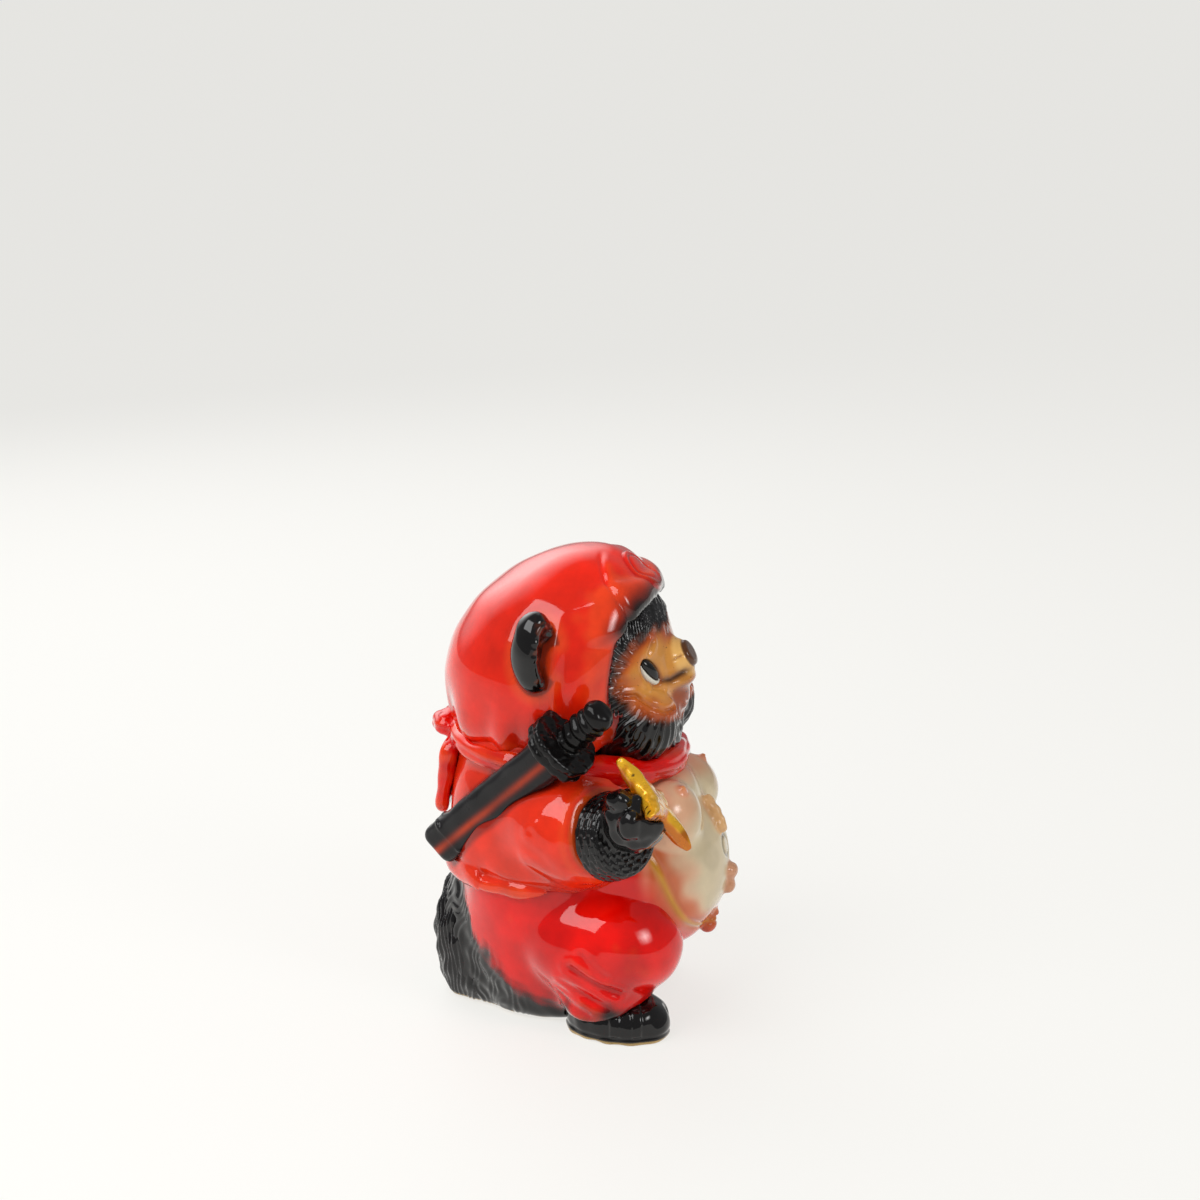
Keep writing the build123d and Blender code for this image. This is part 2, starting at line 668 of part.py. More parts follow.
def roll_form(center, half_width, half_depth, radius, tilt):
    """Cloth roll round the body."""
    path = Edge.make_ellipse(half_width, half_depth)
    section = Plane(origin=(half_width, 0, 0), x_dir=(1, 0, 0), z_dir=(0, 1, 0)) * Circle(radius)
    return Pos(*center) * Rot(tilt, 0, 0) * sweep(section, path=path)


def scarf_form():
    """Scarf wound round the neck, with a rounded outer edge."""
    nape = scarf_back() - SCARF_RADIUS
    half_width = hood_flank(0) + SCARF_OUT + SCARF_RADIUS
    half_depth = (nape + SCARF_THROAT) / 2 + SCARF_RADIUS
    pad = extrude(Ellipse(half_width, half_depth), SCARF_RADIUS, both=True)
    pad = fillet(pad.edges().filter_by(Plane.XY), SCARF_RADIUS * ROUNDING)
    return Pos(0, (nape - SCARF_THROAT) / 2, NECK_Z - SCARF_RADIUS / 4) * Rot(SCARF_TILT, 0, 0) * pad


def belt_form():
    center = (0, BODY_Y, HEM_Z - BELT_RADIUS)
    return roll_form(center, WAIST_HALF_WIDTH, WAIST_BACK, BELT_RADIUS, 0)


def scarf_back():
    share, middle = hood_shape(0)
    return middle + HOOD_BACK * share + SCARF_OUT + SCARF_RADIUS


def knot_form():
    """Tied knot: a round middle with a loop to each side."""
    z = NECK_Z + SCARF_RADIUS / 2
    y = scarf_back() + KNOT_OUT
    knot = spheroid((0, y, z), KNOT_HALF_DEPTH, KNOT_RADIUS, REARWARD, UPWARD)
    for side in SIDES:
        loop_middle = (side * LOOP_OUT, y, z + LOOP_RISE)
        knot = knot + spheroid(loop_middle, LOOP_OUT, LOOP_RADIUS, sided(LOOP_WAY, side), FORWARD)
    return knot


def scarf_end_form(side):
    """Flat cloth end hanging down the back of the jacket."""
    outline = RectangleRounded(SCARF_END_WIDTH, SCARF_END_LENGTH, SCARF_END_CORNER)
    strip = extrude(outline, SCARF_END_THICKNESS)
    strip = fillet(strip.faces().sort_by(Axis.Z)[-1].edges(), SCARF_END_ROUNDING)
    middle = SCARF_END_LENGTH / 2
    y = scarf_back() - SCARF_END_THICKNESS + middle * sin(radians(SCARF_END_LEAN))
    hang = Plane(origin=(side * SCARF_END_OUT, y, NECK_Z - middle), x_dir=(-1, 0, 0), z_dir=(0, 1, 0))
    return hang * Rot(-SCARF_END_LEAN, 0, side * SCARF_END_SPLAY) * strip


# Assembly

def side_name(side):
    return "right" if side == RIGHT else "left"


def build():
    parts = {}
    seat = loft(seat_rings())
    jacket = loft(jacket_rings())
    belly = belly_form()
    hood = loft(hood_rings())
    face = face_form()
    scarf = scarf_form()
    floor = floor_form()
    legs = {side: leg_form(side) for side in SIDES}
    shoes = {side: foot_form(side) for side in SIDES}
    body_hollow, head_hollow = hollow_forms()

    # Lower casting, legs, feet and tail
    parts["base_slab"] = floor - vent_form()
    parts["trousers_seat"] = trimmed(seat, belly, body_hollow, floor)
    for side in SIDES:
        parts[side_name(side) + "_trouser_leg"] = trimmed(
            legs[side], seat, jacket, belly, body_hollow, shoes[side])
        parts[side_name(side) + "_foot"] = trimmed(shoes[side], seat)
    tail = tail_form()
    parts["tail"] = trimmed(tail, seat, jacket)
    belt = belt_form()
    parts["waist_roll"] = trimmed(belt, seat, jacket, belly, tail, legs[RIGHT], legs[LEFT])

    # Upper casting and belly
    parts["jacket"] = trimmed(jacket, belly, body_hollow)
    parts["neck_scarf"] = trimmed(scarf, hood, face, jacket)
    parts["belly"] = trimmed(belly, body_hollow, hood, face, scarf)
    breasts = {side: breast_form(side) for side in SIDES}
    for side in SIDES:
        parts[side_name(side) + "_breast"] = trimmed(breasts[side], belly, jacket, scarf)
    parts["nipples"] = [trimmed(nipple_form(side), breasts[side]) for side in SIDES]
    parts["chest_tuft"] = trimmed(tuft_form(), belly, breasts[RIGHT], breasts[LEFT])
    parts["navel"] = trimmed(navel_form(), belly)
    parts["belly_knobs"] = trimmed(knob_form(), belly)

    # Arms, and the star in the right paw
    star = star_form()
    parts["throwing_star"] = star
    sleeves = {}
    for arm in (RIGHT_ARM, LEFT_ARM):
        name = side_name(arm.side)
        sleeves[arm.side] = arm.sleeve_form()
        torso = (jacket, seat, belt, belly, scarf, breasts[arm.side], legs[arm.side])
        forearm = arm.forearm_form()
        parts[name + "_sleeve"] = trimmed(sleeves[arm.side], *torso)
        parts[name + "_forearm"] = trimmed(forearm, sleeves[arm.side], *torso)
        parts[name + "_paw"] = trimmed(arm.paw_form(), forearm, sleeves[arm.side], star, *torso)

    # Sword
    back = (jacket, seat, belt, scarf, hood, sleeves[RIGHT])
    guard = guard_form()
    band = band_form()
    scabbard = scabbard_form()
    parts["scabbard"] = trimmed(scabbard, *back)
    parts["scabbard_band"] = trimmed(band, scabbard, *back)
    parts["sword_guard"] = trimmed(guard, *back)
    parts["sword_hilt"] = trimmed(hilt_form(), hood)
    parts["hilt_cap"] = trimmed(cap_form(), hood)

    # Head
    snout, pad = snout_forms()
    eyes = {side: eye_form(side) for side in SIDES}
    parts["hood"] = trimmed(hood, face, head_hollow)
    sockets = (socket_form(RIGHT), socket_form(LEFT))
    pupils = {side: pupil_form(side) for side in SIDES}
    parts["face"] = trimmed(face, jacket, head_hollow, *sockets, *eyes.values(), *pupils.values())
    parts["hood_medallion"] = trimmed(medallion_form(), hood, face)
    parts["snout"] = trimmed(snout, face)
    parts["nose_pad"] = trimmed(pad, snout)
    parts["chin"] = trimmed(chin_form(), face, snout, scarf)
    for side in SIDES:
        parts[side_name(side) + "_eye"] = trimmed(eyes[side], pupils[side])
        parts[side_name(side) + "_pupil"] = pupils[side]
        parts[side_name(side) + "_ear"] = trimmed(ear_form(side), hood)

    # Scarf knot and ends
    knot = knot_form()
    parts["scarf_knot"] = trimmed(knot, scarf, jacket, hood)
    for side in SIDES:
        parts[side_name(side) + "_scarf_end"] = trimmed(
            scarf_end_form(side), knot, scarf, jacket, hood, scabbard, band)
    return parts


def main():
    os.makedirs("parts", exist_ok=True)
    for name, shape in build().items():
        solid = Compound(shape) if isinstance(shape, list) else shape
        export_step(solid, f"parts/{name}.step")


main()
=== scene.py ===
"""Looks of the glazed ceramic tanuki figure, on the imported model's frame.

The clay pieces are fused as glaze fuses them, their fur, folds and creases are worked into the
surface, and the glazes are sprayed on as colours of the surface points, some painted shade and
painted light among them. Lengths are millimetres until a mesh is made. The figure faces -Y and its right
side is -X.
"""
from math import atan, cos, radians, sin

import bpy
import numpy as np
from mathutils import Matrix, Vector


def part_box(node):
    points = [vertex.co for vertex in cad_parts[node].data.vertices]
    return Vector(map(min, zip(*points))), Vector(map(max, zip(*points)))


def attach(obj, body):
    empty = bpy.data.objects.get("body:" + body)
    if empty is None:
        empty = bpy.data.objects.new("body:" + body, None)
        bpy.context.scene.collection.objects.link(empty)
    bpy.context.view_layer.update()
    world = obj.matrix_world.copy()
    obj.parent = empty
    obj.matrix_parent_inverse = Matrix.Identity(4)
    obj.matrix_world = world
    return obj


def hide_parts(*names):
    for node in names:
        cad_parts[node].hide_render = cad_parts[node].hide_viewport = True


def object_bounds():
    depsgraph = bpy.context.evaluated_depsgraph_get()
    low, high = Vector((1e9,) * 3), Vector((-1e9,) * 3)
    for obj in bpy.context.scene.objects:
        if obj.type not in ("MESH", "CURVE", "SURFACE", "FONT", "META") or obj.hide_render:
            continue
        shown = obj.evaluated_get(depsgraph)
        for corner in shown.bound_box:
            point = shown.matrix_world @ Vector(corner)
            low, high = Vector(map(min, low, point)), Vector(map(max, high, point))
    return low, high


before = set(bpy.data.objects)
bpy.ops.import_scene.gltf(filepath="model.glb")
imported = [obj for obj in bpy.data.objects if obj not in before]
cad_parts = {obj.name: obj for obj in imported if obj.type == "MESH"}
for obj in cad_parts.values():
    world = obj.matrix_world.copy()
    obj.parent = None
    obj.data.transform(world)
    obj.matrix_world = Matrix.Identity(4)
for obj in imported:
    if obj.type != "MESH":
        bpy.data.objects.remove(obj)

import openvdb
from mathutils import Matrix, Vector

CAD_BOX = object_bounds()

MM = 0.001
BAND = 8.0                # voxels kept on each side of a surface
WIDE_BAND = 32.0          # the same where folds follow an edge at a distance
MARGIN = 12.0             # room round a piece in its field
END_VOXELS = 5            # voxels left empty behind a backed shell
VOXELS = {                # grid spacing of each piece, fine enough for its grooves
    "trousers": 1.0, "jacket": 1.0, "scarf": 0.9, "hood": 0.9, "face": 0.6, "eye": 0.35, "ear": 0.6,
    "belly": 0.9, "arm": 0.55, "star": 0.5, "sword": 0.7, "tail": 0.8, "foot": 0.7}

RIGHT = -1
LEFT = 1
NAMES = {RIGHT: "right", LEFT: "left"}

SCARF_SWELL = 0.8         # given back to the scarf after its facets are smoothed away
ROLL_GROOVE = 1.2         # depth of the groove above the waist roll at the back
ROLL_FADE = 2.5           # how far the waist roll sinks into the jacket towards the front
PLUG_GAP = 1.5            # how far a neighbour that closes a hollow stays under its own surface
BELLY_SINK = 4.0          # how much further under the front of the belly
RIDGE_BLUR = 3            # voxels, for telling ridges from creases
CASTING_BLUR = 3          # voxels, for the facets of a big casting
CROWN_BLUR = 8            # voxels, for those of the hood
SLIP_JOINT = 10.0         # width of the joint where big castings run into one another
ROLL_JOINT = 1.5          # where the waist roll lies against the jacket
GROOVE_JOINT = 12.0       # wide enough to close the slot above the roll at the back
GROOVE_SINK = 6.0         # takes that filling away at the sides and front
CREASE_WIDTH = 2.2        # of a crease pressed into the clothes
CREASE_LIP = 4.5          # from such a crease to the raised lip beside it
COMB_PITCH = 3.4          # from one combed groove of the seat to the next
LOCK_PITCH = 3.6          # from one lock of the tail to the next
HAIR_PITCH = 2.0          # from one hair of the brow to the next
FUR_STROKES = 46          # combed strokes in a full turn round the eye
CROWN_FILL = 0.8          # given back to the hood after its facets are smoothed away

# Places on the figure
NECK_Z = 146.0
MEDALLION = np.array((0, -36.2, 241.0))
MEDALLION_WAY = np.array((0, -0.66, 0.75))
MEDALLION_RING = 8.0      # radius of the ring scored on the boss
MEDALLION_EDGE = 11.6
STEP = 18.0               # left leg set back
LEFT_ARM_BACK = 12.0
ANKLE_CREASES = (
    ((72, -16, 44), (66, -40, 30), 1.4),
    ((70, -10, 34), (66, -34, 22), 1.2),
    ((58, -6, 24), (66, -24, 17), 1.0),
    ((72, -22, 52), (70, -34, 41), 0.8))
SLEEVE_CREASES = (
    ((70, 4, 104), (71, -10, 97), (66, -24, 91)),
    ((74, 2, 118), (76, -8, 112), (74, -16, 102)))
SOOT_PLACES = (-50, -10, 15, 30, 45, 54)   # from the front to the back of the seat
SOOT_TOPS = (20, 16, 17, 31, 48, 80)       # height of the black spray there
SCARF_LEVELS = (3.2, -2.6)                 # folds of the scarf, from its middle line
SCARF_SLOPE = 0.0875                       # rise of the scarf per millimetre backwards
CAP_SEAM_Y = -24.0                         # seam of the cap at its own height over the neck
CAP_SEAM_UP = 94.0
CAP_SEAM_SLOPE = 0.52
HOOD_FOLDS = ((15, 1.0, 2.6), (10.5, -0.9, 2.2), (20, -0.6, 3))   # from the face, height, width
GATHERS = 15                               # in a full turn round the neck
GATHER_AXIS_Y = 9
FACE_AXIS_Y = -14.0
FACE_ROUND = 45.0         # radius of the face for lengths round it
EYE_ROUND = 28.5          # from the middle line round to the eye
EYE_UP = 44.0
TAN_MIDDLE = (18, 44)     # tan patch round the face, and up
TAN_RADII = (33, 22)
BROW_BUMP = (23.6, -41.5, 216.2)
FACE_CREASES = (          # round the face from the middle line, and up, with their depths
    (((47, 36.5), (41, 36), (35, 31), (28, 27.5), (21, 27)), 1.3),
    (((29, 38), (22, 36)), 0.6),
    (((30, 56), (25, 61)), 0.6))
MOUTH_LINE = ((0, -64, 190), (8, -61.5, 188), (15, -56, 185.5), (19, -52.5, 186))
LIP_MIDDLE = (0, -56.5, 183.5)
LIP_RADII = (13.0, 9.0, 4.2)
SNOUT_TIP = np.array((0, -61.9, 196.0))
SNOUT_WAY = np.array((0, -cos(radians(30)), sin(radians(30))))
CHIN_MIDDLE = np.array((0, -55, 174))
CHIN_RADII = (16, 18, 14.5)
PANEL_Z = 95.0            # belly panel: a rounded oval seen from the front
PANEL_HALF_WIDTH = 43.5
PANEL_HALF_HEIGHT = 44.0
PANEL_POWER = 2.3
PANEL_LINES = ((0.0, 0.7), (2.6, 0.6))     # place across the edge, and depth
PANEL_LINE_WIDTH = 0.8
RING_Z = 92.0
RING_RADIUS = 5.5
FOREARM_RADIUS = 24.0
FOREARMS = {
    RIGHT: (np.array((-62.3, -34.0, 114.4)), np.array((-0.571, -0.782, 0.251))),
    LEFT: (np.array((59.5, -23.1, 110.3)), np.array((0.1, -0.983, -0.15)))}
DASH_ROW = 2.8            # from one row of dashes to the next
DASHES = 15               # dashes in one row
SWORD_GUARD = np.array((-65.3, -7.0, 159.0))
SWORD_WAY = np.array((-0.259, -0.702, 0.664))
SWORD_ACROSS = np.array((0.0, -0.687, -0.727))
GUARD_LINE = 5.0
STRIPE = 1.0              # red overspray, from the scabbard's middle line
TAIL_Y = 40.0
TAIL_RADIUS = 36.0
STRAPS = (24.0, 36.0)     # shoe straps ahead of the heel
SOLE_Z = 4.0              # line scored above the sole


def srgb(red, green, blue):
    """Linear colour of a colour as seen on a screen, 0 to 255."""
    shares = np.array([red, green, blue]) / 255
    return np.where(shares <= 0.04045, shares / 12.92, ((shares + 0.055) / 1.055) ** 2.4)


RED = srgb(240, 12, 2)
DEEP_RED = srgb(196, 3, 2)
ORANGE_RED = srgb(246, 80, 30)
BLACK = srgb(14, 12, 12)
TAN = srgb(222, 150, 66)
PALE_TAN = srgb(250, 196, 112)
RUST = srgb(192, 82, 24)
CREAM = srgb(224, 206, 170)
BLUSH = srgb(234, 142, 104)
ORANGE = srgb(206, 92, 34)
OLIVE = srgb(150, 132, 92)
GOLD = srgb(250, 190, 40)
AMBER = srgb(204, 112, 2)
CLAY = srgb(202, 168, 104)
WHITE = srgb(226, 222, 206)
SCABBARD = srgb(34, 33, 34)


# Fields of signed distance

def node_mesh(name):
    """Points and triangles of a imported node."""
    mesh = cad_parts[name].data
    mesh.calc_loop_triangles()
    points = np.empty(len(mesh.vertices) * 3, np.float32)
    mesh.vertices.foreach_get("co", points)
    corners = np.empty(len(mesh.loop_triangles) * 3, np.int32)
    mesh.loop_triangles.foreach_get("vertices", corners)
    return points.reshape(-1, 3) / MM, corners.reshape(-1, 3).astype(np.uint32)


def box_blur(values, radius, axis):
    pads = [(0, 0)] * 3
    pads[axis] = (radius + 1, radius)
    sums = np.moveaxis(np.cumsum(np.pad(values, pads, mode="edge"), axis=axis), axis, 0)
    width = 2 * radius + 1
    return np.moveaxis((sums[width:] - sums[:-width]) / width, 0, axis)


def blurred(values, radius):
    """Three box blurs each way, close to a bell-shaped blur."""
    if radius > 0:
        for axis in (0, 1, 2) * 3:
            values = box_blur(values, radius, axis)
    return values


class Field:
    """Box of voxels round some nodes. Distances are negative inside the clay."""

    def __init__(self, voxel, *nodes):
        boxes = np.array([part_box(node) for node in nodes]) / MM
        self.voxel = voxel
        self.low = boxes[:, 0].min(axis=0) - MARGIN
        size = boxes[:, 1].max(axis=0) + MARGIN - self.low
        self.shape = tuple(np.ceil(size / voxel).astype(int) + 1)

    def distances(self, points, band=BAND, **faces):
        points = ((points - self.low) / self.voxel).astype(np.float32)
        grid = openvdb.FloatGrid.createLevelSetFromPolygons(points, halfWidth=band, **faces)
        values = np.full(self.shape, band, np.float32)
        grid.copyToArray(values)
        return values * self.voxel

    def node(self, name, soften=0.0, band=BAND):
        """Distances to one node, its facets softened away over a few millimetres."""
        points, triangles = node_mesh(name)
        return blurred(self.distances(points, band, triangles=triangles), round(soften / self.voxel))

    def closed(self, values):
        """Distances to the same casting without its hollow.

        A place with clay on all four level sides is clay.
        """
        clay = values < 0
        walled = ~clay
        for axis in (0, 1):
            walled &= np.logical_or.accumulate(clay, axis=axis)
            walled &= np.flip(np.logical_or.accumulate(np.flip(clay, axis), axis=axis), axis)
        return self.refilled(values, walled)

    def backed(self, values):
        """Distances to the same shell with all the room behind it filled, short of the field's own end."""
        clay = values < 0
        behind = np.logical_or.accumulate(clay, axis=1) & ~clay
        behind[:, -END_VOXELS:] = False
        return self.refilled(values, behind)

    def refilled(self, values, more):
        """Distances to the clay with more voxels of it."""
        skin = self.skin(np.where(more, -BAND * self.voxel, values))
        return self.distances(skin.points, quads=skin.quads.astype(np.uint32))

    def fused(self, nodes, joint, soften=0.0):
        """Distances to several nodes with their joints filled like smoothed slip."""
        values = self.node(nodes[0], soften)
        for name in nodes[1:]:
            values = joined(values, self.node(name, soften), joint)
        return values

    def lump(self, center, radii):
        """Distances, close enough near its surface, to an egg-shaped lump of clay."""
        shares = [(self.along(axis) - center[axis]) / radii[axis] for axis in range(3)]
        return (np.sqrt(shares[0] ** 2 + shares[1] ** 2 + shares[2] ** 2) - 1) * min(radii)

    def along(self, axis):
        """Places of the voxels along one axis."""
        shape = [1, 1, 1]
        shape[axis] = -1
        return (self.low[axis] + self.voxel * np.arange(self.shape[axis])).reshape(shape)

    def at(self, values, points):
        """Values between the voxels at some points."""
        place = np.clip((points - self.low) / self.voxel, 0, np.array(self.shape) - 1.001)
        base = place.astype(int)
        part = place - base
        total = np.zeros(len(points))
        for corner in np.ndindex(2, 2, 2):
            share = np.prod(np.where(corner, part, 1 - part), axis=1)
            i, j, k = (base + corner).T
            total += share * values[i, j, k]
        return total

    def skin(self, values):
        """Outer surface where the distance is zero."""
        grid = openvdb.FloatGrid(BAND)
        grid.copyFromArray(np.ascontiguousarray(values / self.voxel, dtype=np.float32))
        points, quads = grid.convertToQuads(0.0)
        return Skin(points * self.voxel + self.low, quads.astype(np.int32))


def joined(first, second, joint):
    """Smooth union of two distances with a joint of that width."""
    overlap = np.maximum(joint - np.abs(first - second), 0) / joint
    return np.minimum(first, second) - overlap ** 2 * joint / 4


class Skin:
    """Points and quads of one piece, with its paint."""

    def __init__(self, points, quads):
        self.points = points
        self.quads = quads
        self.keep_largest()
        self.paint = np.zeros((len(self.points), 3))

    def keep_largest(self):
        """Drops the surfaces of closed hollows, which are smaller than the outer one."""
        labels = np.arange(len(self.points))
        while True:
            lowest = np.repeat(labels[self.quads].min(axis=1), 4)
            new = labels.copy()
            np.minimum.at(new, self.quads.ravel(), lowest)
            new = new[new]
            if np.array_equal(new, labels):
                break
            labels = new
        keep = labels == np.bincount(labels).argmax()
        number = np.cumsum(keep) - 1
        self.quads = number[self.quads[keep[self.quads[:, 0]]]]
        self.points = self.points[keep]

    def normals(self):
        corners = self.points[self.quads]
        faces = np.cross(corners[:, 2] - corners[:, 0], corners[:, 3] - corners[:, 1])
        total = np.zeros_like(self.points)
        for axis in range(3):
            total[:, axis] = np.bincount(
                self.quads.ravel(), np.repeat(faces[:, axis], 4), len(self.points))
        return total / np.maximum(np.linalg.norm(total, axis=1, keepdims=True), 1e-9)

    def push(self, amount):
        """Moves the points out along the normals."""
        self.points = self.points + self.normals() * np.asarray(amount)[:, None]

    def spray(self, colour, mask=None):
        """Colour over the paint, as thick as the mask from 0 to 1."""
        if mask is None:
            self.paint[:] = colour
        else:
            share = np.clip(mask, 0, 1)[:, None]
            self.paint = self.paint * (1 - share) + colour * share


def ramp(low, high, values):
    """0 below low, 1 above high, smooth between."""
    share = np.clip((values - low) / (high - low), 0, 1)
    return share * share * (3 - 2 * share)


def within(full, none, values):
    """1 up to full, 0 beyond none, smooth between."""
    return 1 - ramp(full, none, values)


def bell(values, width):
    """1 at zero, dying away on both sides over the width."""
    return np.exp(-(values / width) ** 2)


def wobble(points, size, seed):
    """Smooth unevenness between about -1 and 1, with lumps of that size."""
    chance = np.random.default_rng(seed)
    total = np.zeros(len(points))
    waves = 7
    for wave in range(waves):
        way = chance.normal(size=3)
        way = way / np.linalg.norm(way) * chance.uniform(0.6, 1.4)
        total += np.sin(points @ way * (2 * np.pi / size) + chance.uniform(0, 2 * np.pi))
    return total / np.sqrt(waves)


def line_distance(points, path):
    """Distance of the points to a path of straight runs."""
    best = np.full(len(points), 1e9)
    for start, end in zip(path[:-1], path[1:]):
        start = np.array(start, float)
        run = np.array(end, float) - start
        share = np.clip((points - start) @ run / (run @ run), 0, 1)
        best = np.minimum(best, np.linalg.norm(points - start - share[:, None] * run, axis=1))
    return best


def placed(path, side, back):
    """A path drawn for the left side, on either side of the figure and set back by some millimetres."""
    return [(side * x, y + back, z) for x, y, z in path]


# Materials

def feed(tree, socket, value):
    """Links another socket to this one, or sets its value."""
    if isinstance(value, bpy.types.NodeSocket):
        tree.links.new(value, socket)
    else:
        socket.default_value = value


class Shader:
    """Material with a Principled surface, built up node by node."""

    def __init__(self, name):
        self.material = bpy.data.materials.new(name)
        self.material.use_nodes = True
        self.tree = self.material.node_tree
        self.surface = self.tree.nodes["Principled BSDF"]
        self.place = self.add("ShaderNodeNewGeometry").outputs["Position"]

    def add(self, kind, links=None, **settings):
        node = self.tree.nodes.new(kind)
        for key, value in settings.items():
            setattr(node, key, value)
        for key, value in (links or {}).items():
            feed(self.tree, node.inputs[key], value)
        return node

    def noise(self, size, detail=2.0):
        """Noise with lumps of about that size in millimetres."""
        links = {"Vector": self.place, "Scale": 1 / (size * MM), "Detail": detail}
        return self.add("ShaderNodeTexNoise", links).outputs["Fac"]

    def spread(self, value, low, high, to_low, to_high):
        links = {"Value": value, "From Min": low, "From Max": high, "To Min": to_low, "To Max": to_high}
        return self.add("ShaderNodeMapRange", links).outputs["Result"]

    def mixed(self, first, second, share, mode="MIX"):
        node = self.add("ShaderNodeMix", data_type="RGBA", blend_type=mode)
        for index, value in ((0, share), (6, first), (7, second)):
            feed(self.tree, node.inputs[index], value)
        return node.outputs[2]

    def sum(self, first, second):
        node = self.add("ShaderNodeMath", {0: first, 1: second}, operation="ADD", use_clamp=True)
        return node.outputs["Value"]

    def set(self, **values):
        """Sets or links inputs of the surface, named with _ for each space."""
        for key, value in values.items():
            feed(self.tree, self.surface.inputs[key.replace("_", " ")], value)

    def bump(self, height, depth, below=None):
        """Relief of that depth in millimetres over another relief."""
        links = {"Height": height, "Distance": depth * MM, "Strength": 1.0}
        if below is not None:
            links["Normal"] = below
        return self.add("ShaderNodeBump", links).outputs["Normal"]

    def paint(self):
        return self.add("ShaderNodeAttribute", attribute_name="paint").outputs["Color"]


NOISE_RANGE = (0.3, 0.7)  # where most of a noise lies


def glaze(name, gloss=0.1, uneven=0.18, specks=0.0, ripple=0.12, coat=1.0, lustre=0.0):
    """Fired glaze: sprayed colour that pools unevenly, fine specks, and a glassy rippled coat."""
    shader = Shader(name)
    pooled = shader.spread(shader.noise(size=14.0, detail=3.0), *NOISE_RANGE, 1 - uneven, 1 + uneven / 3)
    colour = shader.mixed(shader.paint(), pooled, 1.0, "MULTIPLY")
    if specks:
        dots = shader.spread(shader.noise(size=1.5), 0.74 - specks, 0.78 - specks, 0.0, 0.85)
        colour = shader.mixed(colour, (*BLACK, 1.0), dots)
    waves = shader.bump(shader.noise(size=7.0, detail=1.0), ripple)
    orange_peel = shader.bump(shader.noise(size=1.6), ripple / 8, below=waves)
    roughness = shader.spread(shader.noise(size=5.0, detail=3.0), *NOISE_RANGE, gloss, gloss * 2)
    shader.set(Base_Color=colour, Roughness=roughness, Normal=orange_peel, Metallic=lustre,
               Specular_IOR_Level=0.05, Coat_Weight=coat, Coat_Roughness=0.03, Coat_IOR=1.45)
    return shader.material


def bare_clay(name):
    """Unglazed biscuit: matt, sandy, with a little iron in it."""
    shader = Shader(name)
    tone = shader.spread(shader.noise(size=6.0, detail=4.0), *NOISE_RANGE, 0.0, 1.0)
    colour = shader.mixed((*CLAY * 0.8, 1.0), (*CLAY, 1.0), tone)
    grit = shader.bump(shader.noise(size=0.6, detail=3.0), 0.2)
    shader.set(Base_Color=colour, Roughness=0.85, Normal=grit)
    return shader.material


def make_piece(name, skin, nodes, material):
    """Blender object of a skin, in metres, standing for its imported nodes."""
    mesh = bpy.data.meshes.new(name)
    mesh.vertices.add(len(skin.points))
    mesh.vertices.foreach_set("co", np.clip(skin.points * MM, *CAD_BOX).ravel().astype(np.float32))
    mesh.loops.add(skin.quads.size)
    mesh.loops.foreach_set("vertex_index", skin.quads.ravel().astype(np.int32))
    mesh.polygons.add(len(skin.quads))
    mesh.polygons.foreach_set("loop_start", np.arange(0, skin.quads.size, 4, dtype=np.int32))
    mesh.update(calc_edges=True)
    mesh.shade_smooth()
    layer = mesh.color_attributes.new("paint", "FLOAT_COLOR", "POINT")
    paint = np.concatenate([skin.paint, np.ones((len(skin.paint), 1))], axis=1)
    layer.data.foreach_set("color", paint.ravel().astype(np.float32))
    mesh.materials.append(material)
    piece = bpy.data.objects.new(name, mesh)
    bpy.context.collection.objects.link(piece)
    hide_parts(*nodes)
    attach(piece, "root")


def bare_rim(skin):
    """Wiped clay at the very bottom, where the figure stood in the kiln."""
    skin.spray(CLAY, within(1.6, 2.4, skin.points[:, 2]))


# Red clothes

def red_coat(skin, field, solid, seed):
    """Red glaze, lighter orange on ridges, with painted shade darkening its creases."""
    ridge = field.at(blurred(solid, RIDGE_BLUR), skin.points)
    skin.spray(RED)
    skin.spray(DEEP_RED, 0.55 * ramp(-0.3, 1.3, wobble(skin.points, 45, seed)))
    # Painted shade: darker red in the creases.
    skin.spray(DEEP_RED, 0.8 * ramp(0.0, -1.0, ridge))
    skin.spray(ORANGE_RED, 0.55 * ramp(0.5, 1.5, ridge + 0.25 * wobble(skin.points, 12, seed + 1)))


def soot_height(y):
    """Height up to which the black spray covers the trousers: high at the back, a low band at the sides."""
    return np.interp(y, SOOT_PLACES, SOOT_TOPS)


def under_belly(field):
    """The belly as a plug for its neighbours, sunk further where only the belly itself shows."""
    return field.node("belly") + PLUG_GAP + BELLY_SINK * ramp(-56, -72, field.along(1))


